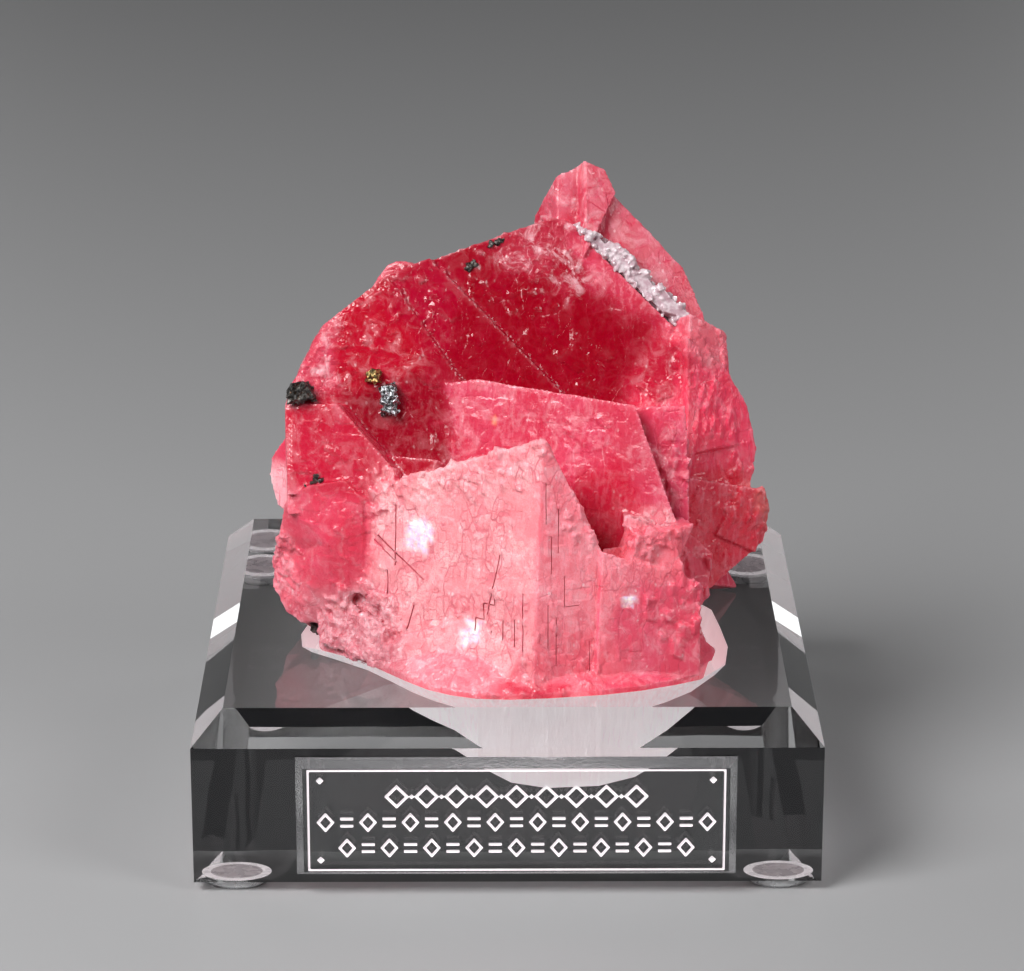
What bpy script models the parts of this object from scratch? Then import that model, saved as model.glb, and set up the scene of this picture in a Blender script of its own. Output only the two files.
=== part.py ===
"""Rhodochrosite crystal cluster standing in the milled pocket of a clear acrylic block.

The frame is metres, +Z up, -Y the front. The origin is on the table, under the middle of the whole
object, label plate included. Shapes are given from the middle of the block, then moved by TO_FRAME.
"""

import math
import random

import bmesh
import bpy
from mathutils import Matrix, Vector

MM = 0.001

# Acrylic block: a square cut from 1 inch cast sheet, its four top edges milled to a chamfer.
BLOCK_SIDE = 91.0 * MM
BLOCK_HEIGHT = 25.4 * MM
CHAMFER = 4.5 * MM

# Clear bumper feet under the corners.
FOOT_HEIGHT = 1.6 * MM
FOOT_RADIUS = 5.4 * MM
FOOT_EDGE = 0.5 * MM
FOOT_INSET = 6.0 * MM
FOOT_SIDES = 32

# Label plate on the front face. Its four edges slope in by the draft.
LABEL_WIDTH = 63.5 * MM
LABEL_HEIGHT = 18.3 * MM
LABEL_THICKNESS = 1.7 * MM
LABEL_DRAFT = 1.1 * MM
LABEL_CENTRE_X = 1.25 * MM
LABEL_CENTRE_Z = 12.15 * MM

GAP = 0.3 * MM
BLOCK_TOP = FOOT_HEIGHT + BLOCK_HEIGHT
FRONT_FACE_Y = -BLOCK_SIDE / 2
TO_FRAME = Vector((0.0, (LABEL_THICKNESS + GAP) / 2, 0.0))

# Pocket that the specimen stands in, ground by hand to its outline. Going round from the left:
# where the wall meets the top face (x, y), how deep the wall is there, and the room that it
# leaves to the specimen's root, all in mm.
POCKET = (
    (-31.0, -11.5, 3.0, 2.5),
    (-30.6, -16.8, 3.0, 2.5),
    (-27.6, -18.2, 4.5, 1.0),
    (-22.0, -22.2, 6.0, 0.6),
    (-18.0, -27.0, 6.5, 0.6),
    (-14.8, -30.8, 7.0, 0.6),
    (-11.5, -34.2, 7.0, 0.6),
    (-8.2, -36.3, 7.5, 0.6),
    (-4.5, -37.7, 9.5, 0.6),
    (0.5, -38.1, 12.0, 0.6),
    (6.0, -37.6, 13.0, 0.6),
    (14.0, -36.3, 13.0, 0.6),
    (19.5, -34.7, 12.0, 0.6),
    (24.5, -32.5, 9.5, 0.6),
    (28.3, -30.4, 7.0, 1.0),
    (32.3, -24.5, 5.5, 2.5),
    (33.1, -17.2, 5.0, 3.0),
    (32.4, -9.0, 5.0, 3.0),
    (31.5, -1.5, 4.5, 2.5),
    (27.0, 6.0, 4.0, 1.0),
    (14.0, 11.0, 4.0, 1.0),
    (-5.0, 11.0, 4.0, 1.0),
    (-20.0, 6.5, 3.5, 1.0),
    (-29.0, -2.0, 3.0, 1.5),
)
POCKET_MIDDLE = (1.0, -13.0, 9.0)  # the lowest point of its floor's middle (x, y, depth), in mm
POCKET_DRAFT = 1.5 * MM  # how far the floor's outline lies inside the rim
CUTTER_TOP = 2.0 * MM  # how far the pocket's cutter stands above the block
ROOT_LIFT = 0.6 * MM  # room under the specimen's root
ROOT_SHOULDER = 0.5 * MM  # how far above the block's top the root begins to draw in
ROOT_RISE = 6.0 * MM  # how far the root goes up into the specimen
ROOT_TAPER = 8.0 * MM  # how far it has drawn in there

# Crystals of the cluster. Each has its heart (x, y, z) in mm, then its faces as (azimuth,
# elevation, distance from the heart in mm). Azimuth 0 looks to the front, 90 to +X, and
# elevation 90 looks up. Cleavage faces come in parallel pairs on opposite sides of a heart.
CRYSTALS = {
    # pale blocks at the front, with an upright edge between their two broad faces
    "front_block": ((-2, -19, 40), (
        (-33, 8, 9.5), (18, 7, 16.5), (-179, 50, 11), (-132, -5, 15.5), (-111, -56, 13.5),
        (111, 24, 12.5), (180, -10, 11), (0, -90, 12.5))),
    "front_apron": ((-2, -23, 30), (
        (-30, 22, 8.5), (-4, 14, 11.5), (-139, 38, 7), (-105, -32, 14), (-162, 59, 3),
        (180, 0, 13), (60, 0, 12), (0, -90, 2.5))),
    "lower_right_block": ((22, -23, 34), (
        (15, 8, 7.5), (-95, 2, 8), (164, 51, 4), (140, 41, 4.5), (105, -2, 4.5), (180, -10, 7),
        (0, -90, 6.5))),
    "right_shoulder": ((21, -19, 35), (
        (24, 10, 7), (-156, 50, 5.5), (142, 38, 8.5), (102, -50, 3.5), (111, -14, 6),
        (-156, -10, 6), (-90, 0, 7), (0, -90, 7.5))),
    "right_point": ((25, -23, 30), (
        (30, 5, 3.5), (125, 46, 2.5), (117, -27, 5), (-61, 7, 4.5), (-150, -5, 4.5),
        (0, -90, 2.5))),
    "inset_block": ((21, -24, 46), (
        (2, 10, 4.5), (-87, -6, 3.5), (-59, -70, 2.5), (119, 69, 3), (95, 15, 3.5),
        (-178, -10, 4.5))),
    # rose blocks behind them
    "middle_block": ((7, -8, 51), (
        (-20, 14, 9.5), (178, 52, 11), (155, 54, 9), (-104, -21, 9.5), (108, 13, 11),
        (160, -14, 10.5), (0, -60, 14.5))),
    "middle_ledge": ((23, -16, 49), (
        (-12, 12, 4.5), (175, 53, 12), (108, -2, 2), (-101, -6, 3), (170, -12, 10),
        (0, -90, 12))),
    "ledge_flake": ((25, -13, 52), (
        (8, 14, 4), (-169, 56, 3.5), (101, 10, 1), (92, -23, 2.5), (-79, -14, 1),
        (-172, -14, 4))),
    # deep red plate, with thin growth steps lying on its left and right ends
    "back_plate": ((-8, 0, 68), (
        (4, 24, 5.5), (115, 39, 25.5), (-124, 40, 13.5), (-146, 52, 12.5), (153, 51, 22),
        (90, -9, 37.5), (-99, 26, 19), (-94, 17, 21), (-87, 1, 25), (-176, -24, 6.5),
        (0, -90, 20))),
    "plate_step_right": ((24, -4, 56), (
        (4, 24, 5.4), (-123, 54, 7), (90, -9, 4), (-88, 4, 4), (-176, -24, 4.5),
        (0, -90, 8))),
    "plate_step_3": ((-17, -3, 65), (
        (4, 24, 5.3), (114, 39, 16), (-126, 40, 11), (-140, 49, 12.5), (-100, 26, 12.5),
        (-87, 1, 15.5), (-176, -24, 5), (0, -90, 11))),
    "plate_step_2": ((-21, -5, 62), (
        (4, 24, 5.4), (108, 31, 13), (-130, 43, 11), (-100, 25, 10), (-88, 1, 11),
        (-176, -24, 5.5), (0, -90, 8))),
    "plate_step_1": ((-26, -5, 62), (
        (3, 24, 5.6), (108, 33, 8), (-130, 42, 7.5), (-104, 30, 6), (-98, 20, 6),
        (-88, -1, 7), (-177, -24, 5), (0, -90, 11))),
    # peak and shoulder that rise behind the plate
    "peak": ((18, 7, 78), (
        (22, 28, 4), (-62, 12, 11.3), (131, 31, 6), (119, 13, 7.5), (113, 2, 9.5),
        (-159, 29, 12), (-158, -28, 5), (4, 24, 4), (-30, -75, 8.5))),
    "peak_lump": ((12, 9, 89), (
        (20, 26, 4), (150, 53, 4.5), (119, 17, 3.5), (92, -32, 3), (-74, 8, 1.5),
        (-160, -26, 4), (0, -90, 7))),
    "shoulder_behind": ((-16, 5, 72), (
        (-10, 20, 3.5), (-112, 30, 5.5), (-136, 58, 7.5), (144, 68, 8), (170, -20, 3.5),
        (90, 0, 8), (-90, 0, 14), (0, -90, 10))),
    # lobes and slabs on the right
    "right_lobe_top": ((26, 1, 63), (
        (34, 16, 7.5), (160, 48, 6.5), (133, -6, 3), (-59, 12, 3.5), (-146, -16, 6.5),
        (0, -90, 8))),
    "right_lobe": ((29, 0, 55), (
        (30, 12, 7), (137, 24, 5), (122, 7, 5.5), (121, -19, 6), (146, 43, 7.5),
        (-61, 7, 6.5), (-150, -12, 9), (0, -90, 13))),
    "right_fan": ((27, -8, 42), (
        (28, 2, 5.5), (168, 61, 7), (164, 66, 7.5), (118, 12, 12), (118, -13, 10.5),
        (115, -58, 7), (-152, -2, 8.5), (-90, 0, 11), (0, -90, 12))),
    "fan_strip": ((35, -6, 44), (
        (28, 2, 4), (-98, 28, 2), (163, 66, 4), (118, 12, 3), (118, -14, 2), (-59, -60, 4),
        (-152, -2, 5))),
    "fan_strip_low": ((25, -13, 42), (
        (28, 2, 0.5), (-98, 29, 1), (157, 63, 10), (152, -30, 1.5), (116, -49, 1), (-90, 0, 6),
        (-152, -2, 4))),
    # crystals on the left
    "left_crystal": ((-25, -9, 55), (
        (-15, 10, 5.5), (-158, 59, 7), (175, 65, 6.5), (85, 44, 6.5), (-102, -16, 4.5),
        (3, -69, 12), (165, -10, 5.5))),
    "left_bump": ((-30, -6, 54), (
        (-40, 10, 4.5), (-136, 32, 2), (-129, -3, 3), (-7, -78, 3.5), (140, -10, 4.5),
        (90, 0, 2), (-40, 55, 5))),
    "left_lump": ((-24, -10, 38), (
        (-30, 12, 4), (-75, 15, 9), (-147, 45, 9.5), (157, 58, 15), (-125, 23, 8.5), (-121, 7, 9),
        (-116, -19, 10), (-71, -61, 11), (150, -12, 8.5), (40, 0, 15), (90, 0, 15),
        (0, -90, 10.5))),
    "left_druse": ((-20, -17, 29), (
        (-35, 25, 5), (-118, -15, 6), (-59, -63, 3.5), (110, 60, 2.5), (-142, 32, 6.5),
        (145, -25, 5), (50, 0, 6), (90, 0, 8), (0, -90, 1.5))),
    "pale_crystal": ((-28, -9, 48), (
        (-35, 10, 4), (-173, 63, 4), (-121, -24, 5), (-105, -63, 3.5), (145, -10, 4),
        (90, 0, 3))),
    # middle of the cluster, which the others cover
    "core": ((2, -4, 46), (
        (4, 24, 8), (180, 0, 12), (90, 0, 22), (-90, 0, 18), (0, 90, 16), (0, -90, 18.5))),
    # back of the cluster: blocks and plates grown parallel to the red plate
    "back_block": ((-2, -2, 40), (
        (4, 24, 11), (160, 56, 17), (-130, 20, 17), (50, -20, 17), (120, 12, 19),
        (-60, -12, 19), (180, 4, 15), (0, 0, 12), (0, -90, 12.5))),
    "rear_plate": ((3, 10, 52), (
        (4, 24, 5), (-176, -24, 8), (115, 39, 15), (-65, -39, 18), (-124, 40, 18),
        (56, -40, 20), (0, -90, 24.5))),
    "rear_step": ((8, 14, 47), (
        (4, 24, 7), (-176, -24, 9), (115, 39, 9), (-65, -39, 12), (-124, 40, 13),
        (56, -40, 14), (0, -90, 19.5))),
    "rear_left": ((-18, 4, 50), (
        (175, 18, 11), (4, 24, 5), (-5, -18, 9), (-98, 30, 10), (82, -30, 12), (-70, -56, 11),
        (110, 56, 10))),
    "rear_low": ((-10, 8, 36), (
        (-160, 22, 9), (20, -22, 9), (-80, 40, 12), (100, -40, 12), (105, 35, 10),
        (-75, -35, 12), (0, -90, 8.5))),
    "rear_right": ((20, 2, 40), (
        (150, 10, 10), (-30, -10, 9), (62, 30, 4), (-118, -30, 10), (-170, 62, 12),
        (10, -62, 10), (0, -90, 12.5))),
}

# Other minerals that grew on it, each of one or more crystals, given in the same way. Their backs
# lie a hair off the rhodochrosite.
MINERALS = {
    # dark sulphide on the rim of the left crystal
    "sulphide_left": ("sulphide", (
        ((-31.2, -11.8, 64.7), (
            (3, 24, 0.8), (-177, -24, 0.8), (80, 20, 1.2), (-90, 10, 1.1), (-60, 60, 1.4),
            (22, -59, 0.8), (110, 62, 1.5))),
        ((-29.8, -11.7, 65.2), (
            (20, 10, 1.1), (-177, -24, 0.8), (88, 30, 1.1), (-90, 20, 1.2), (-150, 70, 1.5),
            (60, -50, 1.4), (22, -59, 1.0), (120, 50, 1.3))))),
    # sulphide strung down the rib of a growth step
    "sulphide_centre": ("sulphide", (
        ((-17.5, -10.9, 64.9), (
            (3, 24, 0.6), (-177, -24, 0.6), (85, 12, 0.9), (-95, -10, 0.8), (-160, 66, 1.2),
            (30, -60, 1.6))),
        ((-17.2, -11.3, 63.3), (
            (15, 30, 0.7), (-177, -24, 0.7), (95, -5, 1.0), (-85, 15, 0.9), (-150, 60, 1.4),
            (-20, -60, 1.3), (60, -66, 1.4))))),
    # brassy crystal beside it
    "chalcopyrite": ("chalcopyrite", (
        ((-19.7, -9.6, 67.2), (
            (-30, 20, 0.6), (-176, -24, 0.6), (50, 40, 0.7), (100, -20, 0.8), (-95, 5, 0.8),
            (-150, 60, 0.9), (-10, -70, 0.9))),)),
    # quartz that crusts the right edge of the red plate, in the notch before the peak
    "quartz_crust": ("quartz", (
        ((13.4, 3.4, 83.9), (
            (4, 24, 0.9), (-176, -24, 0.9), (-65, -39, 0.4), (115, 39, 0.9), (90, 70, 1.1),
            (-88, 32, 0.4), (71, -42, 2.5))),
        ((16.8, 3.0, 82.3), (
            (4, 24, 1.0), (-176, -24, 0.9), (-65, -39, 1.6), (120, 30, 0.7), (100, 60, 1.2),
            (-109, 42, 2.4), (71, -42, 2.6))),
        ((20.5, 1.7, 78.5), (
            (4, 24, 0.8), (-176, -24, 0.9), (-65, -39, 1.4), (110, 30, 0.8), (140, 52, 1.0),
            (-109, 42, 3.2), (71, -42, 3.2))),
        ((24.4, 0.3, 74.9), (
            (4, 24, 0.9), (-176, -24, 0.9), (-65, -39, 1.3), (105, 48, 1.2), (130, 30, 1.5),
            (-109, 42, 3.0), (71, -42, 3.2), (-20, -48, 1.2))))),
}

RAW_SIZE = 160 * MM  # the rough lump that every crystal is cleaved from


def direction(azimuth, elevation):
    """The unit vector that looks to this azimuth and elevation, in degrees."""
    turn, rise = math.radians(azimuth), math.radians(elevation)
    return Vector((
        math.sin(turn) * math.cos(rise), -math.cos(turn) * math.cos(rise), math.sin(rise),
    ))


def material(name, colour, roughness, metallic=0.0, transmission=0.0, ior=1.5):
    made = bpy.data.materials.new(name)
    made.use_nodes = True
    shader = made.node_tree.nodes["Principled BSDF"]
    shader.inputs["Base Color"].default_value = (*colour, 1.0)
    shader.inputs["Roughness"].default_value = roughness
    shader.inputs["Metallic"].default_value = metallic
    shader.inputs["Transmission Weight"].default_value = transmission
    shader.inputs["IOR"].default_value = ior
    made.diffuse_color = (*colour, 1.0)
    return made


def add_object(name, bm, finish):
    mesh = bpy.data.meshes.new(name)
    bm.to_mesh(mesh)
    bm.free()
    obj = bpy.data.objects.new(name, mesh)
    obj.location = TO_FRAME
    obj.data.materials.append(finish)
    bpy.context.scene.collection.objects.link(obj)
    return obj


def hide(helper):
    helper.hide_render = True
    helper.display_type = "WIRE"


def boolean(target, operation, other):
    modifier = target.modifiers.new(operation.lower(), "BOOLEAN")
    modifier.operation = operation
    modifier.solver = "EXACT"
    if isinstance(other, bpy.types.Collection):
        modifier.operand_type = "COLLECTION"
        modifier.collection = other
    else:
        modifier.object = other


def cleave(bm, point, normal):
    """Cuts off what lies beyond the plane, and closes the cut."""
    cut = bmesh.ops.bisect_plane(
        bm, geom=bm.verts[:] + bm.edges[:] + bm.faces[:], plane_co=point, plane_no=normal,
        clear_outer=True, dist=1e-7,
    )["geom_cut"]
    edges = [part for part in cut if isinstance(part, bmesh.types.BMEdge)]
    if edges:
        bmesh.ops.edgenet_fill(bm, edges=edges)


def cleaved(heart, faces):
    """A crystal: a rough cube cleaved along each face."""
    centre = Vector(heart) * MM
    bm = bmesh.new()
    bmesh.ops.create_cube(bm, size=RAW_SIZE, matrix=Matrix.Translation(centre))
    for azimuth, elevation, distance in faces:
        outward = direction(azimuth, elevation)
        cleave(bm, centre + outward * distance * MM, outward)
    bmesh.ops.recalc_face_normals(bm, faces=bm.faces[:])
    return bm


def hull(points):
    """The closed convex solid round these points."""
    bm = bmesh.new()
    for point in points:
        bm.verts.new(point)
    found = bmesh.ops.convex_hull(bm, input=bm.verts[:])
    loose = {part for part in found["geom_interior"] + found["geom_unused"]
             if isinstance(part, bmesh.types.BMVert)}
    bmesh.ops.delete(bm, geom=list(loose), context="VERTS")
    bmesh.ops.recalc_face_normals(bm, faces=bm.faces[:])
    return bm


def loft(rings, low, high):
    """A closed solid through rings of points, from the lowest up, with a fan over each end."""
    bm = bmesh.new()
    levels = [[bm.verts.new(point) for point in ring] for ring in rings]
    count = len(levels[0])
    for lower, upper in zip(levels, levels[1:]):
        for i in range(count):
            j = (i + 1) % count
            bm.faces.new((lower[i], lower[j], upper[j]))
            bm.faces.new((lower[i], upper[j], upper[i]))
    for tip, ring in ((bm.verts.new(low), levels[0]), (bm.verts.new(high), levels[-1])):
        for i in range(count):
            bm.faces.new((ring[i], ring[(i + 1) % count], tip))
    bmesh.ops.recalc_face_normals(bm, faces=bm.faces[:])
    return bm


def inwards(x, y, distance, z):
    """A point of the rim, moved this far towards the middle of the pocket, at the height z."""
    middle = Vector((POCKET_MIDDLE[0], POCKET_MIDDLE[1])) * MM
    rim = Vector((x, y)) * MM
    moved = rim + (middle - rim).normalized() * distance
    return Vector((moved.x, moved.y, z))


def pocket_shape():
    """What is ground out of the block."""
    floor, above = [], []
    for x, y, depth, _ in POCKET:
        floor.append(inwards(x, y, POCKET_DRAFT, BLOCK_TOP - depth * MM))
        above.append(inwards(x, y, 0.0, BLOCK_TOP))
    top = BLOCK_TOP + CUTTER_TOP
    lid = [Vector((point.x, point.y, top)) for point in above]
    middle_x, middle_y, middle_depth = (value * MM for value in POCKET_MIDDLE)
    low = (middle_x, middle_y, BLOCK_TOP - middle_depth)
    return loft([floor, above, lid], low, (middle_x, middle_y, top))


def root_shape():
    """The specimen's foot: it fills the pocket up to its room, and draws in above the block."""
    foot, shoulder, crown = [], [], []
    top = BLOCK_TOP + ROOT_RISE
    for x, y, depth, room in POCKET:
        clear = room * MM
        foot.append(inwards(x, y, POCKET_DRAFT + clear, BLOCK_TOP - depth * MM + ROOT_LIFT))
        shoulder.append(inwards(x, y, clear, BLOCK_TOP + ROOT_SHOULDER))
        crown.append(inwards(x, y, clear + ROOT_TAPER, top))
    middle_x, middle_y, middle_depth = (value * MM for value in POCKET_MIDDLE)
    low = (middle_x, middle_y, BLOCK_TOP - middle_depth + ROOT_LIFT)
    return loft([foot, shoulder, crown], low, (middle_x, middle_y, top))


def make_block(acrylic):
    bm = bmesh.new()
    bmesh.ops.create_cube(bm, size=1.0)
    bmesh.ops.scale(bm, vec=(BLOCK_SIDE, BLOCK_SIDE, BLOCK_HEIGHT), verts=bm.verts[:])
    bmesh.ops.translate(bm, vec=(0, 0, FOOT_HEIGHT + BLOCK_HEIGHT / 2), verts=bm.verts[:])
    top_edges = [e for e in bm.edges if all(v.co.z > BLOCK_TOP - 1e-6 for v in e.verts)]
    bmesh.ops.bevel(
        bm, geom=top_edges, offset=CHAMFER, segments=1, affect="EDGES", clamp_overlap=False,
    )
    block = add_object("acrylic_block", bm, acrylic)
    cutter = add_object("pocket_cutter", pocket_shape(), acrylic)
    hide(cutter)
    boolean(block, "DIFFERENCE", cutter)


def make_foot(name, x, y, rubber):
    profile = (
        (0.0, 0.0), (FOOT_RADIUS - FOOT_EDGE, 0.0), (FOOT_RADIUS, FOOT_EDGE),
        (FOOT_RADIUS, FOOT_HEIGHT - GAP), (0.0, FOOT_HEIGHT - GAP),
    )
    bm = bmesh.new()
    verts = [bm.verts.new((radius, 0.0, z)) for radius, z in profile]
    edges = [bm.edges.new(pair) for pair in zip(verts, verts[1:])]
    bmesh.ops.spin(
        bm, geom=verts + edges, cent=(0, 0, 0), axis=(0, 0, 1), angle=2 * math.pi,
        steps=FOOT_SIDES,
    )
    bmesh.ops.remove_doubles(bm, verts=bm.verts[:], dist=1e-6)
    bmesh.ops.recalc_face_normals(bm, faces=bm.faces[:])
    foot = add_object(name, bm, rubber)
    foot.location = TO_FRAME + Vector((x, y, 0.0))
    foot.data.shade_smooth()
    foot.data.set_sharp_from_angle(angle=math.radians(30))


def make_label(acrylic):
    back = FRONT_FACE_Y - GAP
    front = back - LABEL_THICKNESS
    corners = []
    for y, inset in ((back, 0.0), (front, LABEL_DRAFT)):
        for side_x, side_z in ((-1, -1), (1, -1), (1, 1), (-1, 1)):
            corners.append((
                LABEL_CENTRE_X + side_x * (LABEL_WIDTH / 2 - inset), y,
                LABEL_CENTRE_Z + side_z * (LABEL_HEIGHT / 2 - inset),
            ))
    add_object("label_plate", hull(corners), acrylic)


def grow(name, start, crystals, finish):
    """One solid: the start shape, with all these crystals grown together with it."""
    grown = bpy.data.collections.new(name)
    bpy.context.scene.collection.children.link(grown)
    for label, (heart, faces) in crystals.items():
        crystal = add_object(label, cleaved(heart, faces), finish)
        bpy.context.scene.collection.objects.unlink(crystal)
        grown.objects.link(crystal)
        hide(crystal)
    solid = add_object(name, start, finish)
    if crystals:
        boolean(solid, "UNION", grown)


def make_minerals(finishes):
    for name, (finish, crystals) in MINERALS.items():
        others = {f"{name}_{i}": crystal for i, crystal in enumerate(crystals[1:], start=2)}
        grow(name, cleaved(*crystals[0]), others, finishes[finish])


def main():
    for obj in list(bpy.data.objects):
        bpy.data.objects.remove(obj, do_unlink=True)
    acrylic = material("clear_acrylic", (0.95, 0.96, 0.97), 0.03, transmission=1.0, ior=1.49)
    bumper = material("bumper_rubber", (0.85, 0.86, 0.88), 0.25, transmission=0.9, ior=1.41)
    rhodochrosite = material("rhodochrosite", (0.80, 0.14, 0.20), 0.3)
    make_block(acrylic)
    make_label(acrylic)
    reach = BLOCK_SIDE / 2 - FOOT_INSET
    for side_x, across in ((-1, "left"), (1, "right")):
        for side_y, along in ((-1, "front"), (1, "back")):
            make_foot(f"foot_{along}_{across}", side_x * reach, side_y * reach, bumper)
    grow("rhodochrosite_cluster", root_shape(), CRYSTALS, rhodochrosite)
    make_minerals({
        "sulphide": material("sulphide", (0.06, 0.06, 0.055), 0.35, metallic=0.8),
        "chalcopyrite": material("chalcopyrite", (0.78, 0.58, 0.24), 0.3, metallic=1.0),
        "quartz": material("quartz", (0.80, 0.76, 0.80), 0.35),
    })


main()
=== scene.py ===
"""A rhodochrosite cluster with small sulphides and quartz, in the pocket of a clear acrylic base."""

import math

import bmesh
import bpy
import numpy as np
from mathutils import Matrix, Vector, noise
from mathutils.bvhtree import BVHTree
import time


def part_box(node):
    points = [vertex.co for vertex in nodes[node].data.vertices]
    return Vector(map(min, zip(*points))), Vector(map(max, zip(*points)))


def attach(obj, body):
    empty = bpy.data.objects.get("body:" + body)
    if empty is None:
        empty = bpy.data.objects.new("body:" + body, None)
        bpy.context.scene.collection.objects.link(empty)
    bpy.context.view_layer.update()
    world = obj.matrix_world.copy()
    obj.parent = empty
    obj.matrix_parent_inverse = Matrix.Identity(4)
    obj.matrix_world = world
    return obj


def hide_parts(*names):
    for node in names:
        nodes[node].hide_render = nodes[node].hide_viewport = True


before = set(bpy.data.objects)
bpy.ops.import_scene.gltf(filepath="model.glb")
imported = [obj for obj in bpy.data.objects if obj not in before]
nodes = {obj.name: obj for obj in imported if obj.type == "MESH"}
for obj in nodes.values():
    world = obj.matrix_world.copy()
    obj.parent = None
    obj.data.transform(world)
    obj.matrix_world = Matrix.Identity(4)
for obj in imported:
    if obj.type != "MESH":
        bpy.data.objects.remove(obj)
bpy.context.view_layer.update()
T0 = time.time()
def tick(what):
    print("TICK", what, round(time.time() - T0, 1))

MM = 0.001
scene = bpy.context.scene

# ---------------------------------------------------------------------------------------------
# Room. A pale matt table that runs back out of sight in a dim room. Soft lamps: a large one high
# on the left, one on the right, and weaker ones behind that light the chamfers of the base.


def lamp(name, azimuth, elevation, distance, size, power, colour=(1.0, 1.0, 1.0)):
    """A square soft lamp that looks at the middle of the specimen. Azimuth 0 is the front."""
    target = Vector((0.0, 0.0, 0.05))
    turn, rise = math.radians(azimuth), math.radians(elevation)
    out = Vector((
        math.sin(turn) * math.cos(rise), -math.cos(turn) * math.cos(rise), math.sin(rise),
    ))
    light = bpy.data.lights.new(name, "AREA")
    light.shape = "RECTANGLE"
    light.size, light.size_y = size
    light.energy = power
    light.color = colour
    holder = bpy.data.objects.new(name, light)
    holder.location = target + out * distance
    holder.rotation_euler = (-out).to_track_quat("-Z", "Y").to_euler()
    scene.collection.objects.link(holder)
    return holder


room = bpy.data.worlds.new("dim_room")
room.use_nodes = True
room.node_tree.nodes["Background"].inputs["Color"].default_value = (0.010, 0.010, 0.011, 1.0)
room.node_tree.nodes["Background"].inputs["Strength"].default_value = 1.0
scene.world = room

key = lamp("key_lamp", -46, 44, 0.62, (0.34, 0.34), 5.6)
fill = lamp("fill_lamp", 54, 28, 0.72, (0.30, 0.40), 2.2)
key.visible_transmission = False
fill.visible_transmission = False
lamp("back_left_lamp", -131, 34, 0.75, (0.34, 0.30), 0.55)
lamp("back_right_lamp", 131, 34, 0.75, (0.34, 0.30), 0.55)
lamp("left_card", -161, 7, 1.0, (0.14, 0.30), 0.28)
lamp("right_card", 161, 7, 1.0, (0.14, 0.30), 0.28)

bpy.ops.object.select_all(action="DESELECT")
bpy.ops.mesh.primitive_plane_add(size=6.0, location=(0.0, 0.0, 0.0))
table = bpy.context.object
table.name = "table_top"
table_paint = bpy.data.materials.new("table_paint")
table_paint.use_nodes = True
shader = table_paint.node_tree.nodes["Principled BSDF"]
shader.inputs["Base Color"].default_value = (0.32, 0.32, 0.325, 1.0)
shader.inputs["Roughness"].default_value = 0.55
table.data.materials.append(table_paint)

view_camera = bpy.data.cameras.new("camera")
view_camera.lens = 139.96
view_camera.clip_start = 0.05
camera = bpy.data.objects.new("camera", view_camera)
camera.location = (-0.00265, -0.57208, 0.24305)
camera.rotation_euler = (math.radians(71.09), 0.0, math.radians(-0.355))
scene.collection.objects.link(camera)
scene.camera = camera
scene.view_settings.view_transform = "Standard"


# ---------------------------------------------------------------------------------------------
# Base block. Clear cast acrylic, its faces and chamfers polished, its pocket ground by hand so
# that the wall is white and striped by the cutter; the ground wall also glows a little, painted
# light for the light that reaches it through the block. Clear soft bumpers under the corners.


def node_tree(name):
    """A new material and its node tree, with only a Principled BSDF and its output."""
    made = bpy.data.materials.new(name)
    made.use_nodes = True
    return made, made.node_tree


def add_node(tree, kind, links=None, **values):
    """A node of this kind. Links maps an input to an output socket or a value."""
    node = tree.nodes.new(kind)
    for key, value in values.items():
        setattr(node, key, value)
    for key, source in (links or {}).items():
        if isinstance(source, bpy.types.NodeSocket):
            tree.links.new(source, node.inputs[key])
        else:
            node.inputs[key].default_value = source
    return node


def only(obj):
    """Selects this object alone and makes it active."""
    bpy.ops.object.select_all(action="DESELECT")
    obj.select_set(True)
    bpy.context.view_layer.objects.active = obj


def difference(obj, cutter):
    """Takes the cutter out of the object, and removes the cutter."""
    only(obj)
    cut = obj.modifiers.new("cut", "BOOLEAN")
    cut.operation = "DIFFERENCE"
    cut.solver = "MANIFOLD"
    cut.object = cutter
    bpy.ops.object.modifier_apply(modifier="cut")
    bpy.data.objects.remove(cutter)


def copy_of(node, name):
    """The CAD node's shape as a new object, merged, with its flat faces whole again."""
    made = bpy.data.objects.new(name, nodes[node].data.copy())
    made.data.materials.clear()
    scene.collection.objects.link(made)
    bpy.ops.object.select_all(action="DESELECT")
    made.select_set(True)
    bpy.context.view_layer.objects.active = made
    bpy.ops.object.mode_set(mode="EDIT")
    bpy.ops.mesh.select_all(action="SELECT")
    bpy.ops.mesh.remove_doubles(threshold=1e-6)
    bpy.ops.mesh.dissolve_limited(angle_limit=math.radians(0.3))
    bpy.ops.mesh.select_all(action="DESELECT")
    bpy.ops.object.mode_set(mode="OBJECT")
    for layer in list(made.data.color_attributes):
        made.data.color_attributes.remove(layer)
    return made


polished, tree = node_tree("polished_acrylic")
shader = tree.nodes["Principled BSDF"]
shader.inputs["Base Color"].default_value = (0.985, 0.99, 0.99, 1.0)
shader.inputs["Roughness"].default_value = 0.0
shader.inputs["IOR"].default_value = 1.49
shader.inputs["Transmission Weight"].default_value = 1.0
place = add_node(tree, "ShaderNodeTexCoord").outputs["Object"]
ripple = add_node(tree, "ShaderNodeTexNoise", {"Vector": place, "Scale": 60.0, "Detail": 1.0})
bump = add_node(tree, "ShaderNodeBump", {
    "Height": ripple.outputs["Fac"], "Strength": 0.02, "Distance": 0.001,
})
tree.links.new(bump.outputs["Normal"], shader.inputs["Normal"])

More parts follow.
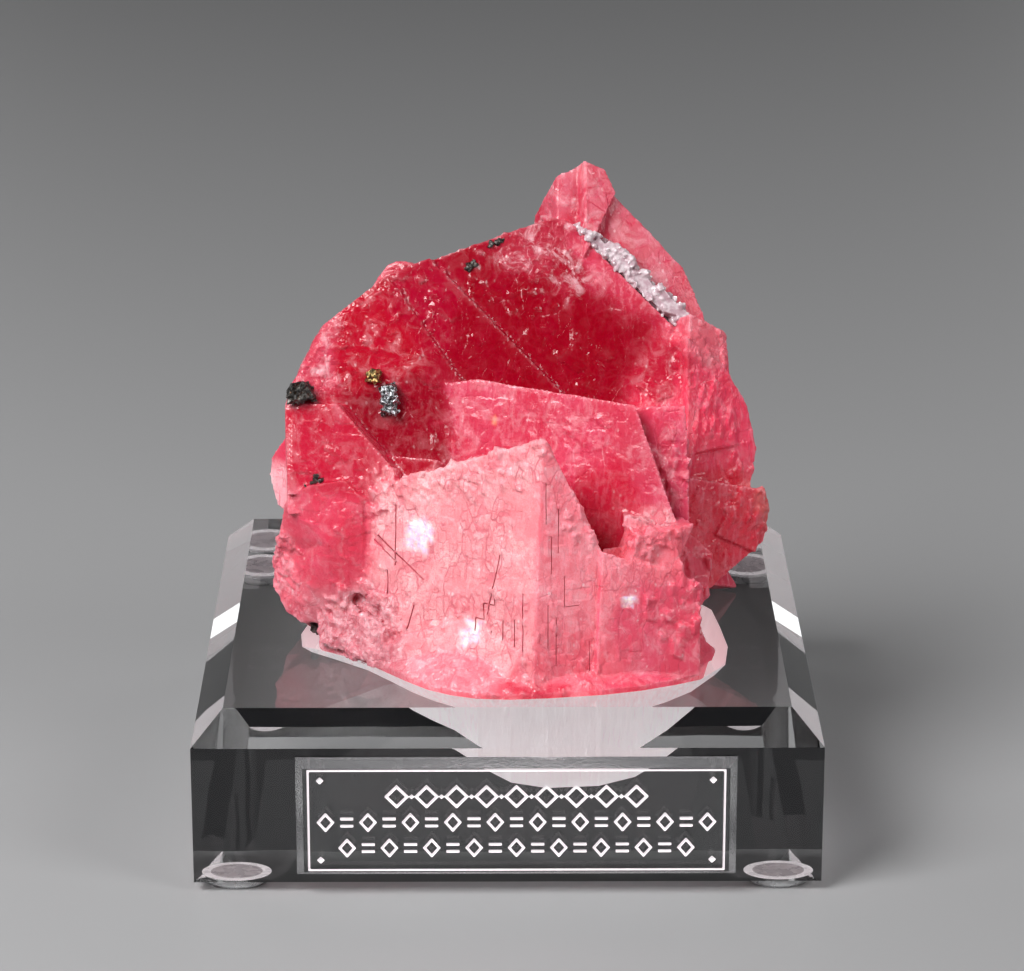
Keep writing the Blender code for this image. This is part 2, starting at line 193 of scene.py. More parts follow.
ground, tree = node_tree("ground_acrylic_glow")
shader = tree.nodes["Principled BSDF"]
shader.inputs["IOR"].default_value = 1.49
shader.inputs["Transmission Weight"].default_value = 0.12
place = add_node(tree, "ShaderNodeTexCoord").outputs["Object"]
stretch = add_node(tree, "ShaderNodeMapping", {"Vector": place, "Scale": (2200.0, 2200.0, 90.0)})
stripe = add_node(tree, "ShaderNodeTexNoise", {
    "Vector": stretch.outputs["Vector"], "Scale": 1.0, "Detail": 3.0,
})
chalk_and_glow = add_node(tree, "ShaderNodeMix", {
    "Factor": stripe.outputs["Fac"], "A": (0.66, 0.58, 0.61, 1.0), "B": (1.0, 0.98, 0.99, 1.0),
}, data_type="RGBA")
# The wall's stripe colour is also its emission: a painted glow for light reaching the wall through the block.
tree.links.new(chalk_and_glow.outputs["Result"], shader.inputs["Emission Color"])
shader.inputs["Emission Strength"].default_value = 0.43
tree.links.new(chalk_and_glow.outputs["Result"], shader.inputs["Base Color"])
scored = add_node(tree, "ShaderNodeMapRange", {
    "Value": stripe.outputs["Fac"], "To Min": 0.5, "To Max": 0.7,
})
tree.links.new(scored.outputs["Result"], shader.inputs["Roughness"])
bump = add_node(tree, "ShaderNodeBump", {
    "Height": stripe.outputs["Fac"], "Strength": 0.5, "Distance": 0.0002,
})
tree.links.new(bump.outputs["Normal"], shader.inputs["Normal"])

rim, tree = node_tree("ground_rim")
shader = tree.nodes["Principled BSDF"]
place = add_node(tree, "ShaderNodeTexCoord").outputs["Object"]
scratch = add_node(tree, "ShaderNodeTexNoise", {"Vector": place, "Scale": 2500.0, "Detail": 2.0})
shader.inputs["Base Color"].default_value = (0.82, 0.82, 0.84, 1.0)
shader.inputs["IOR"].default_value = 1.49
shader.inputs["Transmission Weight"].default_value = 0.95
worn = add_node(tree, "ShaderNodeMapRange", {
    "Value": scratch.outputs["Fac"], "To Min": 0.08, "To Max": 0.30,
})
tree.links.new(worn.outputs["Result"], shader.inputs["Roughness"])
bump = add_node(tree, "ShaderNodeBump", {
    "Height": scratch.outputs["Fac"], "Strength": 0.5, "Distance": 0.0001,
})
tree.links.new(bump.outputs["Normal"], shader.inputs["Normal"])

block = copy_of("acrylic_block", "acrylic_base")
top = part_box("acrylic_block")[1].z
block.data.materials.append(polished)
block.data.materials.append(ground)
block_low, block_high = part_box("acrylic_block")
for face in block.data.polygons:
    inside = all(
        block_low.x + 0.005 < block.data.vertices[v].co.x < block_high.x - 0.005
        and block_low.y + 0.005 < block.data.vertices[v].co.y < block_high.y - 0.005
        for v in face.vertices
    )
    face.material_index = 1 if inside and face.center.z < top - 1e-5 and face.center.z > 0.005 else 0

FEET = ("foot_front_left", "foot_front_right", "foot_back_left", "foot_back_right")


def new_group(name, takes, gives):
    """An empty node group with these sockets, and its input and output nodes."""
    group = bpy.data.node_groups.new(name, "ShaderNodeTree")
    for direction, sockets in (("INPUT", takes), ("OUTPUT", gives)):
        for label, kind in sockets.items():
            group.interface.new_socket(name=label, in_out=direction, socket_type="NodeSocket" + kind)
    return group, group.nodes.new("NodeGroupInput"), group.nodes.new("NodeGroupOutput")


def cloudy_plastic_group():
    """Soft clear plastic: cloudy inside, with fine dust and rubbed patches on its skin."""
    group, given, result = new_group(
        "cloudy_plastic", {"Dusty Color": "Color", "Clear Color": "Color"},
        {"Color": "Color", "Roughness": "Float", "Height": "Float"},
    )
    place = add_node(group, "ShaderNodeTexCoord").outputs["Object"]
    haze = add_node(group, "ShaderNodeTexNoise", {"Vector": place, "Scale": 500.0, "Detail": 4.0})
    speck = add_node(group, "ShaderNodeTexNoise", {"Vector": place, "Scale": 4000.0, "Detail": 2.0})
    cloudy = add_node(group, "ShaderNodeMix", data_type="RGBA")
    rubbed = add_node(group, "ShaderNodeMapRange", {
        "Value": haze.outputs["Fac"], "From Min": 0.3, "From Max": 0.7, "To Min": 0.16, "To Max": 0.4,
    })
    group.links.new(haze.outputs["Fac"], cloudy.inputs[0])
    group.links.new(given.outputs["Dusty Color"], cloudy.inputs[6])
    group.links.new(given.outputs["Clear Color"], cloudy.inputs[7])
    group.links.new(cloudy.outputs[2], result.inputs["Color"])
    group.links.new(rubbed.outputs["Result"], result.inputs["Roughness"])
    group.links.new(speck.outputs["Fac"], result.inputs["Height"])
    return group


cloudy_plastic = cloudy_plastic_group()


def bumper_material(name, clear, dusty, painted_glow):
    """The bumper's plastic, or the glue film above it, with its own two colours, which also glow with painted
    light of the given strength.
    """
    made, tree = node_tree(name)
    shader = tree.nodes["Principled BSDF"]
    plastic = add_node(tree, "ShaderNodeGroup", {
        "Dusty Color": (*dusty, 1.0), "Clear Color": (*clear, 1.0),
    }, node_tree=cloudy_plastic)
    tree.links.new(plastic.outputs["Color"], shader.inputs["Base Color"])
    # The plastic's colour is also its emission: a painted glow.
    tree.links.new(plastic.outputs["Color"], shader.inputs["Emission Color"])
    tree.links.new(plastic.outputs["Roughness"], shader.inputs["Roughness"])
    shader.inputs["Emission Strength"].default_value = painted_glow
    shader.inputs["IOR"].default_value = 1.45
    shader.inputs["Transmission Weight"].default_value = 0.45
    bump = add_node(tree, "ShaderNodeBump", {
        "Height": plastic.outputs["Height"], "Strength": 0.3, "Distance": 0.0001,
    })
    tree.links.new(bump.outputs["Normal"], shader.inputs["Normal"])
    return made


bumper = bumper_material("clear_bumper", (0.96, 0.97, 0.98), (0.80, 0.80, 0.82), 0.0)
for name in FEET:
    nodes[name].data.materials.clear()
    nodes[name].data.materials.append(bumper)

# Where each bumper is glued on, the underside is wet with glue: a ring around a middle, each in the glue's own
# colours and with a painted glow, bright in the ring and dimmer in the middle.
glowing_glue_ring = bumper_material("glowing_glue_ring", (0.98, 0.92, 0.94), (0.72, 0.66, 0.69), 0.34)
glowing_glue_middle = bumper_material("glowing_glue_middle", (0.62, 0.52, 0.55), (0.36, 0.32, 0.34), 0.16)
block.data.materials.append(glowing_glue_ring)
block.data.materials.append(glowing_glue_middle)
for slot, share, deep in ((2, 0.94, 0.03), (3, 0.70, 0.06)):
    for name in FEET:
        low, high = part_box(name)
        bpy.ops.object.select_all(action="DESELECT")
        bpy.ops.mesh.primitive_cylinder_add(
            vertices=48, radius=share * (high.x - low.x) / 2, depth=2 * deep * MM,
            location=((low.x + high.x) / 2, (low.y + high.y) / 2, block_low.z),
        )
        bpy.ops.object.transform_apply(location=True)
        disc = bpy.context.object
        for coat in (polished, ground, glowing_glue_ring, glowing_glue_middle):
            disc.data.materials.append(coat)
        disc.data.polygons.foreach_set("material_index", [slot] * len(disc.data.polygons))
        difference(block, disc)
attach(block, "root")
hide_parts("acrylic_block")

# ---------------------------------------------------------------------------------------------
# Rhodochrosite cluster. Rhombs and plates grown together, cleaved faces with fine growth steps,
# glassy where they are deep red and satin where they are pale. Crumbs and flakes of the same
# mineral sit on its edges and ledges.

VOXEL = 0.3 * MM
MOST_FACES = 190_000
rng = np.random.default_rng(11)


def heading(azimuth, elevation):
    """The unit vector that looks to this azimuth and elevation, in degrees."""
    turn, rise = math.radians(azimuth), math.radians(elevation)
    return Vector((
        math.sin(turn) * math.cos(rise), -math.cos(turn) * math.cos(rise), math.sin(rise),
    ))


def cleavage_rhomb():
    """The pattern of every chip: a cube leant over to the mineral's 75 degree corner."""
    bpy.ops.object.select_all(action="DESELECT")
    bpy.ops.mesh.primitive_cube_add(size=1.0)
    made = bpy.context.object
    made.name = "rhomb_pattern"
    lean = Matrix.Shear("XZ", 4, (0.27, 0.27)) @ Matrix.Shear("YZ", 4, (0.2, 0.0))
    made.data.transform(lean)
    return made


def joined_copies(name, pattern, places):
    """One mesh that holds a copy of the pattern at every place, given as 4 by 4 matrices."""
    corners = np.array([[*v.co, 1.0] for v in pattern.data.vertices])
    points = np.concatenate([(np.array(place) @ corners.T).T[:, :3] for place in places])
    count = len(corners)
    faces = [
        [v + k * count for v in face.vertices]
        for k in range(len(places)) for face in pattern.data.polygons
    ]
    mesh = bpy.data.meshes.new(name)
    mesh.from_pydata(points.tolist(), [], faces)
    made = bpy.data.objects.new(name, mesh)
    scene.collection.objects.link(made)
    return made


def skin(obj, voxel):
    """Melts everything in the mesh into one closed skin."""
    only(obj)
    remesh = obj.modifiers.new("skin", "REMESH")
    remesh.mode = "VOXEL"
    remesh.voxel_size = voxel
    bpy.ops.object.modifier_apply(modifier="skin")


def join(obj, part):
    """Makes the part a piece of the object's own mesh."""
    only(obj)
    part.select_set(True)
    bpy.ops.object.join()


def arrays(obj):
    """The mesh's points and its point normals, as arrays."""
    mesh = obj.data
    points = np.empty(len(mesh.vertices) * 3, np.float32)
    mesh.vertices.foreach_get("co", points)
    normals = np.empty(len(mesh.vertices) * 3, np.float32)
    mesh.vertex_normals.foreach_get("vector", normals)
    return points.reshape(-1, 3).astype(float), normals.reshape(-1, 3).astype(float)


def lies_flat(faces, place, up):
    """True where the skin under the chip's four corners is level with the chip."""
    for x, y in ((-0.6, -0.6), (0.6, -0.6), (-0.6, 0.6), (0.6, 0.6)):
        corner = place @ Vector((x, y, 0.0))
        _, normal, _, distance = faces.find_nearest(corner)
        if distance > 0.45 * MM or normal.dot(up) < 0.97:
            return False
    return True


def chip_places(points, normals, faces, centre, radius, count, size, thick, lift, grain, tilt):
    """Where this many chips lie: on the skin within the radius of the centre, sizes in mm."""
    away = np.linalg.norm(points - np.array(centre) * MM, axis=1)
    near = np.flatnonzero(away < radius * MM)
    places = []
    for i in rng.choice(near, size=count):
        up = (Vector(normals[i]) + Vector(rng.normal(0.0, tilt, 3))).normalized()
        along = Vector(grain) - up * up.dot(Vector(grain))
        along.normalize()
        across = up.cross(along)
        turn = Matrix((along, across, up)).transposed().to_4x4()
        wide = rng.uniform(*size)
        deep = wide * rng.uniform(0.5, 1.0)
        tall = wide * rng.uniform(*thick)
        stretch = Matrix.Diagonal((wide * MM, deep * MM, tall * MM, 1.0))
        rise = (rng.uniform(*lift) - tall / 2) * MM
        place = Matrix.Translation(Vector(points[i]) + up * rise) @ turn @ stretch
        if tilt > LEVEL_TILT or lies_flat(faces, place, up):
            places.append(place)
    return places


LEVEL_TILT = 0.03
PLATE_FACE = np.array(heading(4, 24))
UPRIGHT = (0.1, 0.05, 1.0)
PLATE_EDGE = tuple(heading(-109, 42))
FAN_EDGE = (0.55, 0.1, 0.83)

# Chips: centre and radius in mm, how many, size in mm, thickness as a share of the size, how far
# they stand out in mm, the direction of their long edges, and how unevenly they lie.
CHIPS = (
    ((0, -28, 45), 24, 900, (0.9, 4.5), (0.2, 0.5), (0.01, 0.08), UPRIGHT, 0.004),
    ((6, -2, 72), 34, 130, (1.5, 7.0), (0.15, 0.4), (0.0, 0.05), PLATE_EDGE, 0.004),
    ((8, -10, 54), 18, 260, (1.0, 4.5), (0.2, 0.5), (0.0, 0.08), UPRIGHT, 0.004),
    ((0, 16, 50), 40, 1800, (1.5, 8.0), (0.2, 0.5), (0.0, 0.2), PLATE_EDGE, 0.006),
    ((-28, -10, 42), 16, 350, (0.7, 3.0), (0.3, 0.7), (0.0, 0.12), PLATE_EDGE, 0.02),
    ((30, -8, 48), 17, 800, (0.8, 4.0), (0.2, 0.6), (0.03, 0.25), FAN_EDGE, 0.01),
    ((-20, -17, 30), 8, 330, (0.6, 1.8), (0.5, 0.9), (0.1, 0.6), UPRIGHT, 0.5),
    ((4, 3, 83), 11, 190, (0.3, 1.2), (0.3, 0.7), (0.02, 0.16), PLATE_EDGE, 0.25),
    ((-18, -2, 77), 10, 120, (0.3, 1.1), (0.4, 0.9), (0.03, 0.3), PLATE_EDGE, 0.25),
    ((-29, -6, 69), 7, 160, (0.3, 1.1), (0.4, 0.8), (0.03, 0.25), PLATE_EDGE, 0.2),
    ((25, -17, 56), 5, 80, (0.6, 1.7), (0.2, 0.5), (0.1, 0.5), UPRIGHT, 0.25),
    ((21, -27, 50), 4.5, 90, (0.4, 1.2), (0.4, 0.9), (0.1, 0.5), UPRIGHT, 0.5),
    ((-18, -17, 51.5), 4.0, 60, (0.5, 1.8), (0.3, 0.7), (0.05, 0.45), UPRIGHT, 0.3),
    ((-12, -20.5, 54.5), 4.0, 60, (0.5, 1.8), (0.3, 0.7), (0.05, 0.4), UPRIGHT, 0.3),
    ((-6, -24.0, 57.0), 4.0, 60, (0.5, 1.8), (0.3, 0.7), (0.05, 0.4), UPRIGHT, 0.3),
    ((0, -27.5, 60.0), 4.0, 60, (0.5, 1.8), (0.3, 0.7), (0.05, 0.4), UPRIGHT, 0.3),
    ((5.5, -29, 63.5), 2.2, 26, (0.4, 0.9), (0.5, 0.9), (0.1, 0.4), UPRIGHT, 0.5),
    ((12, -29, 52), 4.5, 30, (0.5, 1.8), (0.3, 0.8), (0.05, 0.3), UPRIGHT, 0.2),
    ((27, -25, 38), 8, 80, (0.6, 2.2), (0.3, 0.7), (0.05, 0.4), UPRIGHT, 0.2),
    ((29, -2, 70), 5, 70, (0.4, 1.2), (0.3, 0.8), (0.05, 0.35), UPRIGHT, 0.3),
    ((37, -6, 46), 6, 80, (0.4, 1.3), (0.3, 0.8), (0.05, 0.4), FAN_EDGE, 0.3),
    ((-33, -9, 40), 6, 160, (0.4, 1.4), (0.3, 0.8), (0.05, 0.35), UPRIGHT, 0.25),
    ((0, -33, 28), 14, 160, (0.4, 1.4), (0.3, 0.8), (0.05, 0.3), UPRIGHT, 0.2),
)

# Smaller crystals set in the gaps: middle and size in mm, the way the face looks, its spin.
FILLS = (
    ((21.0, -24.9, 45.8), (8.0, 6.0, 7.0), 18, 8, -3),
)

# The small blunt crystal at the left: its outline, the point where its faces meet, and the
# direction it grew in, in mm.
BLUNT = (
    (-24.0, -15.6, 53.3), (-21.4, -16.4, 50.8), (-21.1, -17.0, 41.6), (-21.8, -17.2, 36.7),
    (-24.0, -16.8, 34.3), (-26.3, -16.3, 31.0), (-30.9, -14.2, 30.2), (-33.4, -12.6, 32.0),
    (-35.0, -11.0, 35.0), (-35.0, -10.2, 39.2), (-33.9, -12.6, 43.9), (-33.0, -14.2, 49.2),
    (-29.6, -15.6, 52.4),
)
BLUNT_TIP = (-26.6, -17.4, 44.0)
BLUNT_GROWTH = (3.0, 8.0, -1.5)


def blunt_crystal():
    """A low many-sided pyramid over the outline, with its sides run back into the cluster."""
    count = len(BLUNT)
    back = [tuple(np.array(point) + np.array(BLUNT_GROWTH)) for point in BLUNT]
    ring = range(count)
    faces = [(count * 2, (i + 1) % count, i) for i in ring]
    faces += [(i, (i + 1) % count, (i + 1) % count + count, i + count) for i in ring]
    faces.append(tuple(i + count for i in reversed(ring)))
    mesh = bpy.data.meshes.new("blunt_crystal")
    points = [tuple(length * MM for length in point) for point in (*BLUNT, *back, BLUNT_TIP)]
    mesh.from_pydata(points, [], faces)
    made = bpy.data.objects.new("blunt_crystal", mesh)
    scene.collection.objects.link(made)
    only(made)
    bpy.ops.object.mode_set(mode="EDIT")
    bpy.ops.mesh.select_all(action="SELECT")
    bpy.ops.mesh.normals_make_consistent(inside=False)
    bpy.ops.object.mode_set(mode="OBJECT")
    return made


def fill_place(centre, size, azimuth, elevation, spin):
    """Where the rhomb pattern goes to become this small crystal."""
    out = heading(azimuth, elevation)
    side = Vector((0.0, 0.0, 1.0)).cross(out).normalized()
    turn = Matrix((side, out.cross(side), out)).transposed().to_4x4()
    wide, deep, tall = (length * MM for length in size)
    return (
        Matrix.Translation(Vector(centre) * MM) @ turn
        @ Matrix.Rotation(math.radians(spin), 4, "Z") @ Matrix.Diagonal((wide, tall, deep, 1.0))
    )


# Lines incised in the pale faces, where the cleavage opened: the ends of each on its face
# (x, z in mm), how wide and how deep.
FRONT_LEFT = (Vector((-2, -18, 40)) * MM, heading(-33, 8), 9.5 * MM)
FRONT_RIGHT = (Vector((-2, -18, 40)) * MM, heading(18, 7), 16.5 * MM)
CUTS = (
    (FRONT_LEFT, (-19.0, 45.4), (-12.2, 40.2), 0.55, 0.8),
    (FRONT_LEFT, (-19.6, 44.6), (-16.2, 42.0), 0.4, 0.6),
    (FRONT_LEFT, (-16.3, 50.4), (-16.4, 41.5), 0.35, 0.6),
    (FRONT_LEFT, (-17.6, 40.5), (-17.6, 35.3), 0.35, 0.6),
    (FRONT_LEFT, (-13.7, 36.2), (-15.2, 30.6), 0.4, 0.7),
    (FRONT_LEFT, (-15.6, 33.6), (-17.0, 31.6), 0.3, 0.5),
    (FRONT_LEFT, (-1.0, 46.4), (-2.9, 37.2), 0.4, 0.6),
    (FRONT_LEFT, (-1.8, 41.1), (-1.8, 38.8), 0.4, 0.7),
    (FRONT_LEFT, (-1.8, 38.8), (-3.4, 38.8), 0.4, 0.7),
    (FRONT_LEFT, (-3.4, 38.8), (-3.4, 36.4), 0.4, 0.7),
    (FRONT_LEFT, (-3.4, 36.4), (-4.6, 36.4), 0.4, 0.7),
    (FRONT_LEFT, (-4.6, 36.4), (-4.6, 32.0), 0.4, 0.7),
    (FRONT_LEFT, (-0.6, 36.9), (-0.6, 26.6), 0.35, 0.6),
    (FRONT_LEFT, (1.1, 37.4), (1.1, 27.1), 0.35, 0.6),
    (FRONT_LEFT, (-2.3, 35.0), (-2.3, 28.0), 0.3, 0.5),
    (FRONT_LEFT, (2.3, 41.5), (2.3, 30.0), 0.3, 0.5),
    (FRONT_RIGHT, (5.6, 58.0), (5.6, 52.0), 0.3, 0.4),
    (FRONT_RIGHT, (6.4, 50.0), (6.4, 44.5), 0.3, 0.4),
    (FRONT_RIGHT, (7.4, 54.0), (7.4, 47.5), 0.3, 0.4),
    (FRONT_RIGHT, (5.9, 40.0), (5.9, 33.5), 0.3, 0.4),
    (FRONT_RIGHT, (7.1, 38.0), (7.1, 31.0), 0.3, 0.4),
    (FRONT_RIGHT, (8.3, 44.0), (8.3, 39.5), 0.3, 0.4),
    (FRONT_RIGHT, (8.3, 39.5), (10.4, 39.5), 0.3, 0.4),
    (FRONT_RIGHT, (16.2, 38.9), (16.2, 32.6), 0.4, 0.7),
    (FRONT_RIGHT, (16.2, 32.6), (18.0, 31.8), 0.4, 0.7),
    (FRONT_RIGHT, (12.0, 34.0), (12.0, 28.6), 0.3, 0.4),
)


def cut_place(face, start, end, width, depth):
    """Where a thin wedge lies so that it cuts this line into the face."""
    heart, out, distance = face
    ends = []
    for x, z in (start, end):
        point = Vector((x, 0.0, z)) * MM
        reach = (out.dot(heart) + distance - out.dot(point)) / out.y
        ends.append(point + Vector((0.0, reach, 0.0)))
    along = ends[1] - ends[0]
    length = along.length
    along.normalize()
    across = out.cross(along)
    turn = Matrix((along, across, out)).transposed().to_4x4()
    size = Matrix.Diagonal((length, 0.5 * width * MM, 0.6 * depth * MM, 1.0))
    return Matrix.Translation((ends[0] + ends[1]) / 2) @ turn @ size


rhomb = cleavage_rhomb()
crystals = copy_of("rhodochrosite_cluster", "rhodochrosite_crystals")
bpy.ops.object.select_all(action="DESELECT")
bpy.ops.mesh.primitive_cube_add(size=1.0)
wedge = bpy.context.object
lines = joined_copies("incised_lines", wedge, [cut_place(*cut) for cut in CUTS])
bpy.data.objects.remove(wedge)
join(crystals, joined_copies("fills", rhomb, [fill_place(*fill) for fill in FILLS]))
join(crystals, blunt_crystal())
skin(crystals, 0.5 * MM)
points, normals = arrays(crystals)
faces = BVHTree.FromPolygons(points.tolist(), [face.vertices[:] for face in crystals.data.polygons])
places = []
for chips in CHIPS:
    places += chip_places(points, normals, faces, *chips)
places += [fill_place(*fill) for fill in FILLS]
chips = joined_copies("chips", rhomb, places)
bpy.data.objects.remove(rhomb)
bpy.data.objects.remove(crystals)

crystals = copy_of("rhodochrosite_cluster", "rhodochrosite_crystals")
join(crystals, chips)
join(crystals, blunt_crystal())
skin(crystals, VOXEL)
tick("skin")


def weather(obj):
    """Moves the skin in and out a little: growth hillocks, fine steps and the rough druse."""
    points, normals = arrays(obj)
    moved = np.empty(len(points))
    for i, (x, y, z) in enumerate(points * 1000.0):
        spot = Vector((x, y, z))
        swell = noise.noise(spot * 0.16)
        grain = noise.noise(spot * 0.75 + Vector((7.0, 0.0, 0.0)))
        calm = 0.35 if normals[i] @ PLATE_FACE > 0.985 else 1.0
        block = noise.cell(Vector((x * 0.5 + swell, y * 0.5, z * 0.62 + 0.5 * swell)))
        ledge = 0.06 * calm if block > 0.66 else 0.0
        moved[i] = 0.10 * swell + 0.018 * grain * calm - ledge
    rough = np.zeros(len(points))
    for centre, radius, depth in ROUGH:
        away = np.linalg.norm(points - np.array(centre) * MM, axis=1) / (radius * MM)
        rough = np.maximum(rough, depth * np.clip(1.6 - 1.6 * away, 0.0, 1.0))
    for i in np.flatnonzero(rough > 0.0):
        spot = Vector(points[i] * 1000.0)
        lump = noise.voronoi(spot * 0.9)[0][0]
        moved[i] += rough[i] * (0.35 - lump + 0.4 * noise.noise(spot * 2.2))
    points += normals * moved[:, None] * MM
    obj.data.vertices.foreach_set("co", points.astype(np.float32).ravel())
    obj.data.update()


# Rough druse and broken flanks: centre and radius in mm, and how rough.
ROUGH = (
    ((-20, -17, 29), 9, 0.5),
    ((-33, -9, 38), 8, 0.3),
    ((4, 2, 83), 10, 0.10),
    ((-28, -6, 70), 7, 0.10),
    ((21, -27, 50), 5, 0.2),
    ((27, -25, 38), 8, 0.12),
    ((32, -4, 66), 8, 0.12),
    ((38, -5, 46), 6, 0.15),
)
weather(crystals)
tick("weather")
only(crystals)
thin = crystals.modifiers.new("thin", "DECIMATE")
thin.ratio = min(1.0, MOST_FACES / sum(len(f.vertices) - 2 for f in crystals.data.polygons))
bpy.ops.object.modifier_apply(modifier="thin")
tick("decimate")
difference(crystals, lines)
tick("cuts")
print("cluster", len(crystals.data.vertices), len(crystals.data.polygons))

# Tones of the mineral: centre and radius in mm, the way the face looks where that matters,
# colour, then how frosted, how veiled with white, and how fibrous it is. Two small entries are
# painted light, not tone: a near-white lit crystal and an orange glint.
TONES = (
    ((-8, -25.2, 42), 16, (-33, 8), (0.99, 0.56, 0.57), 0.6, 0.6, 0.15),
    ((8, -31.7, 44), 12, (18, 7), (1.0, 0.38, 0.44), 0.45, 0.45, 0.6),
    ((12, -31.0, 30), 10, (18, 7), (0.95, 0.24, 0.31), 0.35, 0.4, 0.5),
    ((-6, -28, 28), 5, None, (0.96, 0.36, 0.42), 0.4, 0.6, 0.1),
    ((4, -33.5, 24.6), 3.5, None, (0.62, 0.028, 0.08), 0.15, 0.2, 0.1),
    ((22, -29, 34), 9, None, (0.82, 0.125, 0.21), 0.4, 0.4, 0.4),
    ((21, -28.5, 46), 4.5, None, (0.92, 0.26, 0.32), 0.6, 0.3, 0.2),
    ((21, -25, 50.5), 2.6, None, (0.8, 0.48, 0.5), 0.9, 0.9, 0.0),
    ((4, -13, 60), 13, (-15, 12), (0.68, 0.07, 0.145), 0.25, 0.4, 0.7),
    ((13, -20, 48), 8, (-15, 12), (0.6, 0.021, 0.07), 0.15, 0.15, 0.5),
    ((24, -17, 55), 6, None, (0.62, 0.056, 0.13), 0.5, 0.4, 0.3),
    ((2, -2.2, 70), 18, (4, 24), (0.31, 0.0006, 0.014), 0.0, 0.02, 0.0),
    ((-12, -1.5, 74), 9, (4, 24), (0.38, 0.0018, 0.026), 0.05, 0.10, 0.1),
    ((-20, -5, 70), 8, (4, 24), (0.47, 0.004, 0.028), 0.1, 0.32, 0.1),
    ((-18, -10, 60), 9, (4, 24), (0.3, 0.0021, 0.018), 0.05, 0.12, 0.2),
    ((-29, -7, 69), 6, None, (0.6, 0.049, 0.11), 0.5, 0.8, 0.2),
    ((4, 2, 84), 8, None, (0.44, 0.0175, 0.055), 0.35, 0.9, 0.0),
    ((9, 2, 79), 5, None, (0.38, 0.0084, 0.035), 0.2, 0.9, 0.0),
    ((-13.5, -13.2, 56.5), 3.6, (-30, 12), (0.42, 0.006, 0.03), 0.1, 0.2, 0.3),
    ((24, -4, 65), 5, None, (0.5, 0.014, 0.05), 0.1, 0.3, 0.1),
    ((17, 5, 84), 10, None, (0.62, 0.049, 0.11), 0.4, 0.4, 0.9),
    ((7.5, 8, 90), 4, None, (0.62, 0.14, 0.2), 0.3, 0.5, 0.4),
    ((10, 7, 94), 2.0, None, (0.92, 0.42, 0.46), 0.5, 0.6, 0.2),
    ((29, -3, 60), 10, None, (0.86, 0.06, 0.15), 0.35, 0.2, 0.8),
    ((30, -2, 70), 4, None, (0.8, 0.22, 0.28), 0.7, 0.5, 0.2),
    ((31, -8, 44), 8, None, (0.76, 0.035, 0.08), 0.2, 0.2, 0.7),
    ((38, -6, 46), 3.5, None, (0.74, 0.18, 0.17), 0.5, 0.4, 0.2),
    ((-27, -12, 57), 8, None, (0.56, 0.0175, 0.06), 0.15, 0.25, 0.1),
    ((-34, -9, 56), 4, None, (0.68, 0.056, 0.13), 0.3, 0.4, 0.1),
    ((-26, -14, 44), 8, None, (0.76, 0.085, 0.16), 0.2, 0.25, 0.15),
    ((-34, -9, 39), 7, None, (0.86, 0.24, 0.31), 0.7, 0.6, 0.7),
    ((-21, -18, 30), 8, None, (0.66, 0.32, 0.36), 0.5, 0.7, 0.0),
    ((-24, -16, 33), 2.0, None, (0.88, 0.46, 0.34), 0.5, 0.4, 0.0),
    # Painted light: the near-white crystal at the far left, lit through by strong light.
    ((-34, -10, 50), 4.0, None, (0.97, 0.76, 0.78), 0.6, 0.4, 0.0),
    # Painted highlight: a small orange glint on the middle crystal.
    ((-1.4, -11.5, 61.7), 1.0, None, (0.95, 0.42, 0.22), 0.3, 0.3, 0.0),
    ((0, 22, 50), 20, None, (0.62, 0.049, 0.11), 0.35, 0.5, 0.3),
    ((0, 18, 34), 10, None, (0.66, 0.084, 0.17), 0.5, 0.4, 0.2),
    ((0, -12, 22), 10, None, (0.7, 0.084, 0.18), 0.6, 0.4, 0.1),
)
TONE_EDGE = 9.0

# Pearly spots where a cleavage has opened just under the face: the opened cleavage is real, its white and rainbow
# sheen is a painted reflection. Centre and half sizes in mm.
PEARLS = (
    ((-12.8, -22.0, 47.8), (2.1, 2.0, 1.5)), ((-13.3, -22.0, 45.6), (1.7, 2.0, 1.6)),
    ((-4.9, -28.3, 34.4), (1.2, 2.0, 1.5)), ((-5.9, -27.8, 33.2), (1.1, 2.0, 0.9)),
    ((17.7, -30.3, 39.2), (0.8, 1.5, 0.9)), ((-10.5, -23.5, 34.5), (0.7, 1.5, 0.5)),
)


